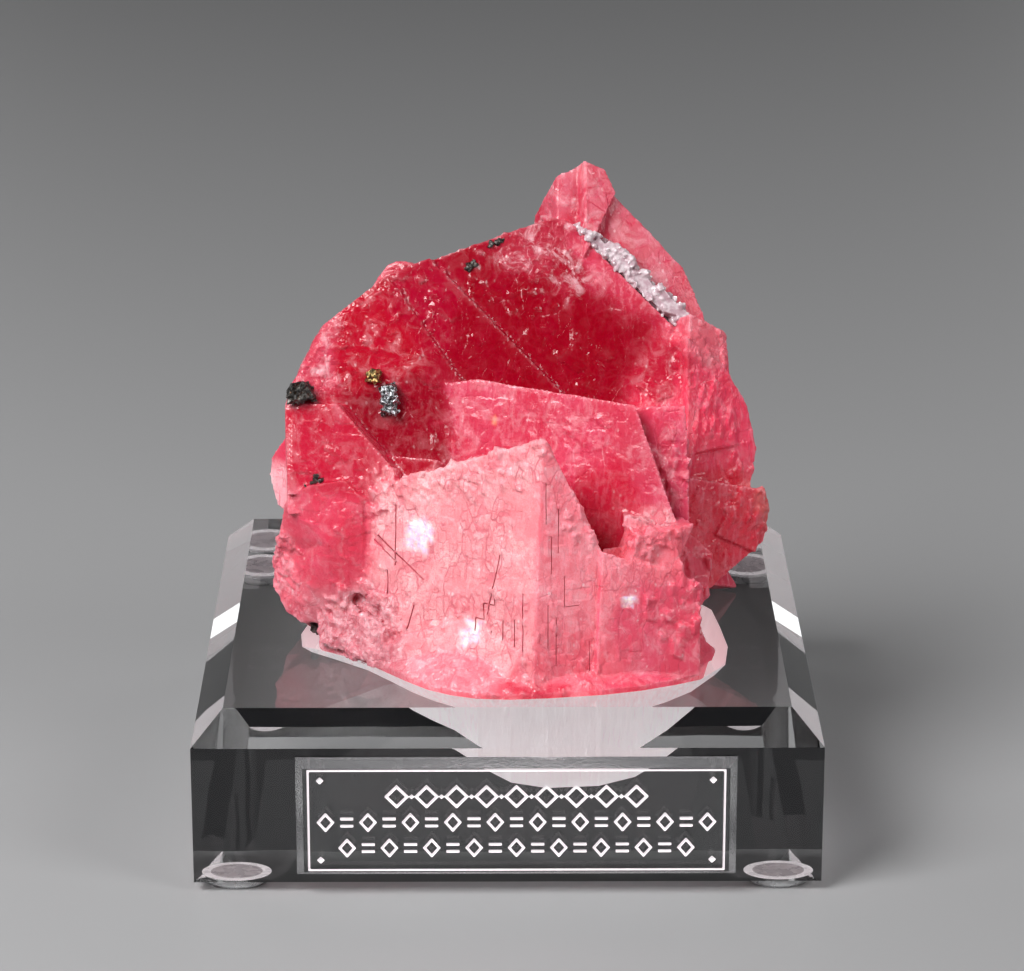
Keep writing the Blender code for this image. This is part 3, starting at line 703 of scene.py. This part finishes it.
def paint_tones(obj):
    """Writes the tone, the feel (frosted, veiled, fibrous) and the ridges and hollows."""
    points, normals = arrays(obj)
    mesh = obj.data
    noise.seed_set(11)
    warp = np.array([noise.noise_vector(Vector(p) * 220.0)[:] for p in points]) * 1.6 * MM
    shares = []
    for centre, radius, facing, *_ in TONES:
        away = np.linalg.norm(points + warp - np.array(centre) * MM, axis=1) / (radius * MM)
        if facing:
            out = np.array(heading(*facing))
            off = np.abs((points - np.array(centre) * MM) @ out) / MM
            away += 1.5 * (1.0 - np.clip(normals @ out, -1.0, 1.0)) + 0.3 * np.maximum(off - 1.0, 0.0)
        shares.append(1.0 / np.maximum(away, 0.05) ** TONE_EDGE)
    shares = np.array(shares) / np.sum(shares, axis=0)
    colours = shares.T @ np.array([tone[3] for tone in TONES])
    feels = shares.T @ np.array([tone[4:7] for tone in TONES])
    edges = np.empty(len(mesh.edges) * 2, np.int32)
    mesh.edges.foreach_get("vertices", edges)
    edges = edges.reshape(-1, 2)
    ends = np.concatenate([edges, edges[:, ::-1]])
    count = np.maximum(np.bincount(ends[:, 0], minlength=len(points)), 1)
    step = points[ends[:, 1]] - points[ends[:, 0]]
    length = np.linalg.norm(step, axis=1) + 1e-9
    bend = np.einsum("ij,ij->i", step, normals[ends[:, 0]]) / length
    curve = -np.bincount(ends[:, 0], bend, len(points)) / count
    for _ in range(2):
        curve = 0.4 * curve + 0.6 * np.bincount(ends[:, 0], curve[ends[:, 1]], len(points)) / count
    ridge = np.clip((curve - 0.06) / 0.25, 0.0, 1.0)
    # The hollows mask later darkens the colour in the shader: painted shade.
    hollow = np.clip((-curve - 0.05) / 0.22, 0.0, 1.0)
    ones = np.ones((len(points), 1))
    pearl = np.zeros(len(points))
    for centre, halves in PEARLS:
        away = np.linalg.norm((points + 0.4 * warp) / MM - np.array(centre), axis=1)
        near = np.flatnonzero(away < 4.0)
        away = np.abs((points[near] + 0.3 * warp[near]) / MM - np.array(centre)) / np.array(halves)
        pearl[near] = np.maximum(pearl[near], np.clip((1.1 - away.max(axis=1)) / 0.35, 0.0, 1.0))
    shape = np.stack([ridge, hollow, pearl], axis=1)
    for name, values in (("tone", colours), ("feel", feels), ("shape", shape)):
        layer = mesh.color_attributes.new(name, "FLOAT_COLOR", "POINT")
        layer.data.foreach_set("color", np.hstack([values, ones]).astype(np.float32).ravel())


paint_tones(crystals)
tick("tones")
print("flat volume check", len(crystals.data.polygons))


def attribute(tree, name):
    """The node that reads one of the colour layers written on the mesh."""
    return add_node(tree, "ShaderNodeAttribute", attribute_name=name)


def mix_colour(tree, factor, one, two, blend="MIX"):
    node = add_node(tree, "ShaderNodeMix", data_type="RGBA", blend_type=blend)
    for socket, source in ((node.inputs[0], factor), (node.inputs[6], one), (node.inputs[7], two)):
        if isinstance(source, bpy.types.NodeSocket):
            tree.links.new(source, socket)
        elif isinstance(source, tuple):
            socket.default_value = (*source, 1.0)
        else:
            socket.default_value = source
    return node.outputs[2]


def sums(tree, operation, one, two=0.0, three=0.0, clamp=False):
    """A Math node's output."""
    node = add_node(tree, "ShaderNodeMath", operation=operation, use_clamp=clamp)
    for socket, source in zip(node.inputs, (one, two, three)):
        if isinstance(source, bpy.types.NodeSocket):
            tree.links.new(source, socket)
        else:
            socket.default_value = source
    return node.outputs[0]


def ramp(tree, value, low, high, to_low=0.0, to_high=1.0):
    """The value between low and high, stretched smoothly to the new limits."""
    node = add_node(tree, "ShaderNodeMapRange", {
        "Value": value, "From Min": low, "From Max": high, "To Min": to_low, "To Max": to_high,
    }, interpolation_type="SMOOTHSTEP")
    return node.outputs["Result"]


def noise_of(tree, place, scale, detail=4.0, roughness=0.55, distortion=0.0):
    return add_node(tree, "ShaderNodeTexNoise", {
        "Vector": place, "Scale": scale, "Detail": detail, "Roughness": roughness,
        "Distortion": distortion,
    }).outputs["Fac"]


def mapped(tree, place, scale, rotation=(0.0, 0.0, 0.0)):
    return add_node(tree, "ShaderNodeMapping", {
        "Vector": place, "Scale": scale, "Rotation": rotation,
    }).outputs["Vector"]


rose, tree = node_tree("rhodochrosite_rose")
shader = tree.nodes["Principled BSDF"]
place = mapped(tree, add_node(tree, "ShaderNodeTexCoord").outputs["Object"], (1000.0,) * 3)
tone = attribute(tree, "tone").outputs["Color"]
feel = add_node(tree, "ShaderNodeSeparateColor", {"Color": attribute(tree, "feel").outputs["Color"]})
shape = add_node(tree, "ShaderNodeSeparateColor", {"Color": attribute(tree, "shape").outputs["Color"]})
frosted, veiled, fibrous = (feel.outputs[i] for i in range(3))
ridge, hollow = shape.outputs[0], shape.outputs[1]

cloud = noise_of(tree, place, 0.36, 7.0, 0.66, 0.8)
mottle = noise_of(tree, place, 1.1, 5.0, 0.62)
grit = noise_of(tree, place, 3.6, 4.0, 0.65)
strands = noise_of(tree, mapped(tree, place, (1.5, 1.5, 0.13), (0.06, -0.12, 0.0)), 1.0, 5.0, 0.6)
glint_cells = add_node(tree, "ShaderNodeTexVoronoi", {
    "Vector": mapped(tree, place, (1.0, 1.0, 0.7), (0.3, 0.2, 0.1)), "Scale": 0.75,
    "Randomness": 1.0,
}).outputs["Distance"]
bent = add_node(tree, "ShaderNodeVectorMath", {
    0: place, 1: add_node(tree, "ShaderNodeTexNoise", {"Vector": place, "Scale": 0.16}).outputs["Color"],
}, operation="ADD").outputs["Vector"]
cracks = add_node(tree, "ShaderNodeTexVoronoi", {
    "Vector": mapped(tree, bent, (1.0, 1.0, 0.45), (0.0, 0.75, 0.2)), "Scale": 0.22,
}, feature="DISTANCE_TO_EDGE").outputs["Distance"]

jag = add_node(tree, "ShaderNodeTexNoise", {"Vector": place, "Scale": 0.9, "Detail": 3.0})
jagged = add_node(tree, "ShaderNodeVectorMath", {
    0: jag.outputs["Color"], 1: (0.5, 0.5, 0.5), 2: place,
}, operation="MULTIPLY_ADD").outputs["Vector"]


def mosaic_of(scale, rotation, line):
    """A level for each small cleavage block of the crystal, and the line around the block."""
    links = {
        "Vector": mapped(tree, jagged, (1.0, 1.0, 0.5), rotation), "Scale": scale, "Randomness": 0.9,
    }
    one = add_node(tree, "ShaderNodeTexVoronoi", links, distance="CHEBYCHEV", feature="F1")
    two = add_node(tree, "ShaderNodeTexVoronoi", links, distance="CHEBYCHEV", feature="F2")
    level = add_node(tree, "ShaderNodeSeparateColor", {"Color": one.outputs["Color"]}).outputs[0]
    gap = sums(tree, "SUBTRACT", two.outputs["Distance"], one.outputs["Distance"])
    return level, ramp(tree, gap, line, 0.3 * line)


mosaic, mosaic_line = mosaic_of(0.28, (0.05, 0.10, 0.4), 0.055)
tiles, tile_line = mosaic_of(0.80, (0.0, 0.06, 0.35), 0.13)

veil = sums(tree, "MULTIPLY", ramp(tree, cloud, 0.47, 0.66), veiled)
# Small near-white spots that stand for surface sparkles: painted highlights.
painted_glint = sums(tree, "MULTIPLY", ramp(tree, glint_cells, 0.20, 0.08), ramp(tree, cloud, 0.46, 0.58))
painted_glint = sums(tree, "MULTIPLY", painted_glint, sums(tree, "ADD", veiled, 0.06))
strand = sums(tree, "MULTIPLY", ramp(tree, strands, 0.50, 0.66), fibrous)
crack = sums(tree, "MULTIPLY", ramp(tree, cracks, 0.022, 0.004), ramp(tree, mottle, 0.48, 0.62))
crack = sums(tree, "MULTIPLY", crack, ramp(tree, noise_of(tree, place, 0.11, 2.0), 0.50, 0.60))
thread = noise_of(tree, mapped(tree, place, (1.1, 1.1, 0.09), (0.05, 0.03, 0.0)), 1.0, 2.0, 0.5)
thread = ramp(tree, sums(tree, "ABSOLUTE", sums(tree, "SUBTRACT", thread, 0.5)), 0.012, 0.002)
thread = sums(tree, "MULTIPLY", sums(tree, "MULTIPLY", thread, frosted), ramp(tree, cloud, 0.52, 0.58))

some = ramp(tree, noise_of(tree, place, 0.21, 2.0), 0.42, 0.52)
etched = sums(tree, "MULTIPLY", sums(tree, "MAXIMUM", mosaic_line, sums(tree, "MULTIPLY", tile_line, 0.6)), some)
etched = sums(tree, "MULTIPLY", etched, sums(tree, "ADD", frosted, 0.1))
pepper = sums(tree, "MULTIPLY", ramp(tree, grit, 0.54, 0.40), sums(tree, "MULTIPLY_ADD", frosted, 0.8, 0.1))
deep = mix_colour(tree, 1.0, tone, (0.86, 0.38, 0.44), "MULTIPLY")
colour = mix_colour(tree, sums(tree, "MULTIPLY", mosaic, 0.55), tone, deep)
colour = mix_colour(tree, sums(tree, "MULTIPLY", tiles, 0.50), colour, deep)
colour = mix_colour(tree, ramp(tree, noise_of(tree, place, 0.13, 3.0), 0.42, 0.62, 0.0, 0.5), colour, deep)
colour = mix_colour(tree, pepper, colour, deep)
colour = mix_colour(tree, sums(tree, "MULTIPLY", veil, 0.60), colour, (0.99, 0.66, 0.71))
colour = mix_colour(tree, sums(tree, "MULTIPLY", strand, 0.32), colour, (0.95, 0.36, 0.45))
colour = mix_colour(tree, sums(tree, "MULTIPLY", crack, 0.40), colour, (0.95, 0.50, 0.55))
colour = mix_colour(tree, sums(tree, "MULTIPLY", sums(tree, "MAXIMUM", thread, etched), 0.75), colour, (0.60, 0.06, 0.11))
# Painted highlights: the near-white glint spots.
colour = mix_colour(tree, sums(tree, "MULTIPLY", painted_glint, 0.75), colour, (1.0, 0.86, 0.88))
colour = mix_colour(tree, ramp(tree, mottle, 0.30, 0.62, 0.30, 0.0), colour, deep)
# Painted shade: darker red in the hollows of the skin.
colour = mix_colour(tree, sums(tree, "MULTIPLY", hollow, 0.55), colour, (0.48, 0.02, 0.05))
colour = mix_colour(tree, sums(tree, "MULTIPLY", ridge, 0.28), colour, (0.97, 0.50, 0.57))
# The pearly spots take a pale violet-to-warm white: a painted reflection off the opened cleavage.
painted_sheen = mix_colour(tree, ramp(tree, mottle, 0.40, 0.60), (0.86, 0.72, 1.0), (1.0, 0.90, 0.86))
colour = mix_colour(
    tree, sums(tree, "MULTIPLY", shape.outputs[2], ramp(tree, cloud, 0.36, 0.56, 0.5, 0.95)), colour, painted_sheen,
)
tree.links.new(colour, shader.inputs["Base Color"])

rough = sums(tree, "MULTIPLY_ADD", frosted, 0.42, 0.14)
rough = sums(tree, "MULTIPLY_ADD", ramp(tree, mottle, 0.35, 0.70), 0.12, rough)
rough = sums(tree, "MULTIPLY_ADD", ridge, 0.10, rough, clamp=True)
tree.links.new(rough, shader.inputs["Roughness"])
tree.links.new(sums(tree, "MULTIPLY_ADD", frosted, -0.15, 0.15, clamp=True), shader.inputs["Coat Weight"])
shader.inputs["Specular IOR Level"].default_value = 0.35
shader.inputs["Coat Roughness"].default_value = 0.08
shader.inputs["IOR"].default_value = 1.6
shader.inputs["Subsurface Weight"].default_value = 0.25
shader.inputs["Subsurface Radius"].default_value = (1.0, 0.3, 0.35)
shader.inputs["Subsurface Scale"].default_value = 0.002

height = sums(tree, "MULTIPLY", grit, 0.22)
height = sums(tree, "MULTIPLY_ADD", mottle, 0.4, height)
height = sums(tree, "MULTIPLY_ADD", mosaic, 1.1, height)
height = sums(tree, "MULTIPLY_ADD", tiles, sums(tree, "ADD", frosted, 0.2), height)
height = sums(tree, "MULTIPLY_ADD", strand, 0.5, height)
height = sums(tree, "MULTIPLY_ADD", crack, -0.5, height)
height = sums(tree, "MULTIPLY_ADD", sums(tree, "MAXIMUM", thread, etched), -1.2, height)
height = sums(tree, "MULTIPLY_ADD", sums(tree, "MULTIPLY", grit, frosted), 0.9, height)
height = sums(tree, "MULTIPLY", height, sums(tree, "MULTIPLY_ADD", frosted, 1.1, 0.22))
bump = add_node(tree, "ShaderNodeBump", {"Height": height, "Strength": 0.6, "Distance": 0.00016})
tree.links.new(bump.outputs["Normal"], shader.inputs["Normal"])

crystals.data.materials.clear()
crystals.data.materials.append(rose)
crystals.data.polygons.foreach_set("material_index", np.zeros(len(crystals.data.polygons), np.int32))
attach(crystals, "root")
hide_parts("rhodochrosite_cluster")

# ---------------------------------------------------------------------------------------------
# Sulphides. Small crumbling clusters grown on the rose crystals: black ones with a brown bloom
# at the left edge, silvery ones beside a brassy chalcopyrite, and single grains.


def crumbled(node, name, pattern, count, size, voxel):
    """A copy of the CAD node with crumbs of the pattern all over it, melted into one skin."""
    made = copy_of(node, name)
    points, normals = arrays(made)
    surface = BVHTree.FromPolygons(points.tolist(), [face.vertices[:] for face in made.data.polygons])
    low, high = points.min(axis=0), points.max(axis=0)
    places = []
    while len(places) < count:
        spot = Vector(rng.uniform(low, high))
        nearest, normal, _, _ = surface.find_nearest(spot)
        turn = Matrix.Rotation(rng.uniform(0.0, 6.28), 4, Vector(rng.normal(0.0, 1.0, 3)))
        shape = [length * MM for length in rng.uniform(*size, 3)]
        sunk = nearest - normal * rng.uniform(-0.05, 0.25) * MM
        places.append(Matrix.Translation(sunk) @ turn @ Matrix.Diagonal((*shape, 1.0)))
    crumbs = joined_copies("crumbs", pattern, places)
    join(made, crumbs)
    skin(made, voxel)
    made.data.materials.clear()
    return made


def worn_edges_group():
    """Another colour in the hollows and one on the worn edges, by how the skin bends."""
    group, given, result = new_group("worn_edges", {
        "Color": "Color", "Hollow Color": "Color", "Edge Color": "Color", "Hollow Depth": "Float",
        "Edge Start": "Float", "Edge End": "Float", "Edge Share": "Float",
    }, {"Color": "Color"})
    bend = add_node(group, "ShaderNodeNewGeometry").outputs["Pointiness"]
    sunk = ramp(group, bend, 0.50, sums(group, "SUBTRACT", 0.50, given.outputs["Hollow Depth"]))
    colour = mix_colour(group, sunk, given.outputs["Color"], given.outputs["Hollow Color"])
    worn = ramp(
        group, bend, given.outputs["Edge Start"], given.outputs["Edge End"],
        0.0, given.outputs["Edge Share"],
    )
    colour = mix_colour(group, worn, colour, given.outputs["Edge Color"])
    group.links.new(colour, result.inputs["Color"])
    return group


worn_edges = worn_edges_group()


def worn(tree, colour, hollow, edge, depth, start, end, share):
    """The colour with another in the hollows and one on the worn edges."""
    return add_node(tree, "ShaderNodeGroup", {
        "Color": colour, "Hollow Color": (*hollow, 1.0), "Edge Color": (*edge, 1.0),
        "Hollow Depth": depth, "Edge Start": start, "Edge End": end, "Edge Share": share,
    }, node_tree=worn_edges).outputs["Color"]


def metallic_mineral(name, dark, bright, bloom, rough):
    """A metallic mineral: two tones of metal, a dull bloom in the hollows, worn bright edges."""
    made, tree = node_tree(name)
    shader = tree.nodes["Principled BSDF"]
    place = mapped(tree, add_node(tree, "ShaderNodeTexCoord").outputs["Object"], (1000.0,) * 3)
    patch = noise_of(tree, place, 1.6, 4.0, 0.6)
    grain = noise_of(tree, place, 6.0, 3.0, 0.6)
    colour = mix_colour(tree, ramp(tree, patch, 0.40, 0.62), dark, bright)
    colour = worn(tree, colour, bloom, bright, 0.06, 0.54, 0.60, 0.7)
    tree.links.new(colour, shader.inputs["Base Color"])
    tree.links.new(
        sums(tree, "MULTIPLY_ADD", grain, 0.35, rough, clamp=True), shader.inputs["Roughness"],
    )
    tree.links.new(ramp(tree, patch, 0.25, 0.50, 0.55, 1.0), shader.inputs["Metallic"])
    height = sums(tree, "MULTIPLY_ADD", grain, 0.5, patch)
    bump = add_node(tree, "ShaderNodeBump", {"Height": height, "Strength": 0.6, "Distance": 0.0002})
    tree.links.new(bump.outputs["Normal"], shader.inputs["Normal"])
    return made


rhomb = cleavage_rhomb()
MINERALS = (
    ("sulphide_left", "black_sulphide_crystals", "black_sulphide", 60, (0.3, 0.9),
     (0.03, 0.028, 0.027), (0.16, 0.15, 0.14), (0.07, 0.035, 0.02), 0.25),
    ("sulphide_centre", "silvery_sulphide_crystals", "silvery_sulphide", 60, (0.3, 1.0),
     (0.06, 0.06, 0.063), (0.52, 0.53, 0.56), (0.05, 0.045, 0.045), 0.12),
    ("chalcopyrite", "chalcopyrite_crystal", "chalcopyrite", 26, (0.3, 0.9),
     (0.07, 0.05, 0.02), (0.72, 0.53, 0.22), (0.03, 0.025, 0.02), 0.15),
)
for node, name, slot, count, size, dark, bright, bloom, dull in MINERALS:
    mineral = crumbled(node, name, rhomb, count, size, 0.13 * MM)
    mineral.data.materials.append(metallic_mineral(slot, dark, bright, bloom, dull))
    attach(mineral, "root")
    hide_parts(node)

# Single grains: place and size in mm.
GRAINS = (
    ((-5.4, 1.1, 81.2), 0.7), ((-4.6, 1.0, 81.8), 0.5), ((-6.0, 1.1, 80.9), 0.4),
    ((-2.2, 2.6, 84.2), 0.5), ((-1.4, 2.8, 84.6), 0.5), ((-0.6, 2.9, 84.9), 0.35),
    ((-28.2, -14.2, 53.1), 0.7), ((-27.5, -14.3, 52.7), 0.5), ((-28.8, -14.0, 51.4), 0.5),
    ((-28.8, -13.0, 29.5), 0.7), ((-28.7, -13.2, 28.7), 0.6), ((-29.3, -13.0, 28.2), 0.6),
)
points, normals = arrays(crystals)
surface = BVHTree.FromPolygons(
    points.tolist(), [face.vertices[:] for face in crystals.data.polygons],
)
places = []
for centre, size in GRAINS:
    for _ in range(7):
        spot = Vector(centre) * MM + Vector(rng.normal(0.0, 0.4 * size * MM, 3))
        spot, normal, _, _ = surface.find_nearest(spot)
        turn = Matrix.Rotation(rng.uniform(0.0, 6.28), 4, Vector(rng.normal(0.0, 1.0, 3)))
        shape = [length * size * MM for length in rng.uniform(0.5, 1.1, 3)]
        places.append(Matrix.Translation(spot + normal * 0.15 * size * MM) @ turn @ Matrix.Diagonal((*shape, 1.0)))
grains = joined_copies("sulphide_grains", rhomb, places)
skin(grains, 0.1 * MM)
grains.data.materials.append(bpy.data.materials["black_sulphide"])
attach(grains, "root")

# ---------------------------------------------------------------------------------------------
# Quartz crust. Small milky grey crystals, six-sided with a short point, that cover the seam
# between the plate and the crystals behind it; their edges and tips are whiter.

CRUST_LINE = (
    ((10.6, 5.6, 85.8), 0.9), ((12.5, 4.4, 84.8), 1.0), ((15.4, 5.2, 83.4), 1.2),
    ((17.0, 4.8, 81.5), 1.2), ((18.9, 4.2, 79.6), 1.4), ((21.2, 3.6, 77.0), 1.4),
    ((23.3, 3.2, 75.2), 1.5), ((25.0, 2.6, 74.0), 1.6), ((27.0, 0.5, 72.4), 1.4),
)
bpy.ops.object.select_all(action="DESELECT")
bpy.ops.mesh.primitive_cylinder_add(vertices=6, radius=0.5, depth=1.0, end_fill_type="TRIFAN")
quartz_pattern = bpy.context.object
for vertex in quartz_pattern.data.vertices:
    if abs(vertex.co.x) + abs(vertex.co.y) < 1e-6:
        vertex.co.z *= 2.1
places = []
for (start, wide), (end, wide_end) in zip(CRUST_LINE, CRUST_LINE[1:]):
    for _ in range(34):
        share = rng.uniform()
        reach = (wide + (wide_end - wide) * share) * MM
        spot = Vector(start).lerp(Vector(end), share) * MM + Vector(rng.normal(0.0, 0.5 * reach, 3))
        spot, normal, _, _ = surface.find_nearest(spot)
        axis = (normal + Vector(rng.normal(0.0, 0.55, 3))).normalized()
        wide_here = rng.uniform(0.45, 1.15) * min(1.0, reach / MM)
        tall = wide_here * rng.uniform(0.5, 1.3)
        turn = axis.to_track_quat("Z", "Y").to_matrix().to_4x4()
        size = Matrix.Diagonal((wide_here * MM, wide_here * MM, tall * MM, 1.0))
        places.append(Matrix.Translation(spot) @ turn @ Matrix.Rotation(rng.uniform(0.0, 1.0), 4, "Z") @ size)
crust = crumbled("quartz_crust", "quartz_crystals", quartz_pattern, 200, (0.35, 1.25), 0.12 * MM)
points_of_quartz = joined_copies("points", quartz_pattern, places)
bpy.data.objects.remove(quartz_pattern)
bpy.data.objects.remove(rhomb)
join(crust, points_of_quartz)
skin(crust, 0.13 * MM)
crust.data.materials.clear()

quartz, tree = node_tree("milky_quartz")
shader = tree.nodes["Principled BSDF"]
place = mapped(tree, add_node(tree, "ShaderNodeTexCoord").outputs["Object"], (1000.0,) * 3)
cloud = noise_of(tree, place, 0.6, 5.0, 0.6)
grain = noise_of(tree, place, 4.0, 3.0, 0.6)
colour = mix_colour(tree, ramp(tree, cloud, 0.42, 0.60), (0.46, 0.31, 0.35), (0.62, 0.52, 0.55))
colour = worn(tree, colour, (0.42, 0.24, 0.28), (0.97, 0.92, 0.94), 0.08, 0.52, 0.59, 0.85)
tree.links.new(colour, shader.inputs["Base Color"])
tree.links.new(sums(tree, "MULTIPLY_ADD", grain, 0.30, 0.08, clamp=True), shader.inputs["Roughness"])
shader.inputs["IOR"].default_value = 1.54
shader.inputs["Subsurface Weight"].default_value = 0.3
shader.inputs["Subsurface Radius"].default_value = (1.0, 0.9, 0.95)
shader.inputs["Subsurface Scale"].default_value = 0.001
bump = add_node(tree, "ShaderNodeBump", {"Height": grain, "Strength": 0.4, "Distance": 0.0001})
tree.links.new(bump.outputs["Normal"], shader.inputs["Normal"])
crust.data.materials.append(quartz)
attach(crust, "root")
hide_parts("quartz_crust")

# ---------------------------------------------------------------------------------------------
# Label plate. A thin strip of the same acrylic glued to the front of the block. Its slanted rim
# is ground, and its front is engraved with a border, rules and small lozenges, all left frosted
# and with the same faint painted glow as the pocket wall.

LABEL_MIDDLE = (1.25, 12.15)
LABEL_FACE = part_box("label_plate")[0].y / MM
GROOVE = 0.16
STROKE = 0.42
marks = []


def bar(x, z, wide, tall, turn=0.0):
    """Notes one engraved stroke of the label: middle, size and turn on the plate, in mm."""
    marks.append(
        Matrix.Translation(Vector((x + LABEL_MIDDLE[0], LABEL_FACE, z + LABEL_MIDDLE[1])) * MM)
        @ Matrix.Rotation(math.radians(turn), 4, "Y")
        @ Matrix.Diagonal((wide * MM, 2 * GROOVE * MM, tall * MM, 1.0))
    )


def lozenge(x, z, wide, tall, stroke=STROKE):
    """An open lozenge of four strokes."""
    length = math.hypot(wide, tall) / 2
    lean = math.degrees(math.atan2(tall, wide))
    for side in (-1, 1):
        for level in (-1, 1):
            bar(x + side * wide / 4, z + level * tall / 4, length + 0.7 * stroke, stroke,
                side * level * lean)


def small_lozenge(x, z, size):
    """A filled square stood on its corner."""
    bar(x, z, size, size, 45.0)


for level in (-1, 1):
    bar(0.0, level * 7.75, 60.0, 0.3)
for side in (-1, 1):
    bar(side * 29.9, 0.0, 0.3, 15.8)
    for level in (-1, 1):
        small_lozenge(side * 28.2, level * 6.2, 0.8)
for i in range(9):
    lozenge((i - 4) * 4.3, 3.7, 3.0, 3.1)
    if i < 8:
        small_lozenge((i - 3.5) * 4.3, 3.7, 0.55)
for row, count in ((-0.3, 19), (-4.3, 17)):
    for i in range(count):
        x = (i - (count - 1) / 2) * 3.05
        if i % 2:
            bar(x, row + 0.55, 1.9, STROKE)
            bar(x, row - 0.55, 1.9, STROKE)
        else:
            lozenge(x, row, 2.1, 2.5, 0.38)
bpy.ops.object.select_all(action="DESELECT")
bpy.ops.mesh.primitive_cube_add(size=1.0)
block_pattern = bpy.context.object
engraving = joined_copies("engraving", block_pattern, marks)
bpy.data.objects.remove(block_pattern)
skin(engraving, 0.09 * MM)
for coat in (polished, rim, ground):
    engraving.data.materials.append(coat)
engraving.data.polygons.foreach_set("material_index", [2] * len(engraving.data.polygons))
label = copy_of("label_plate", "label_strip")
for coat in (polished, rim, ground):
    label.data.materials.append(coat)
for face in label.data.polygons:
    face.material_index = 0 if abs(face.normal.y) > 0.9 else 1
difference(label, engraving)
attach(label, "root")
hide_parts("label_plate")
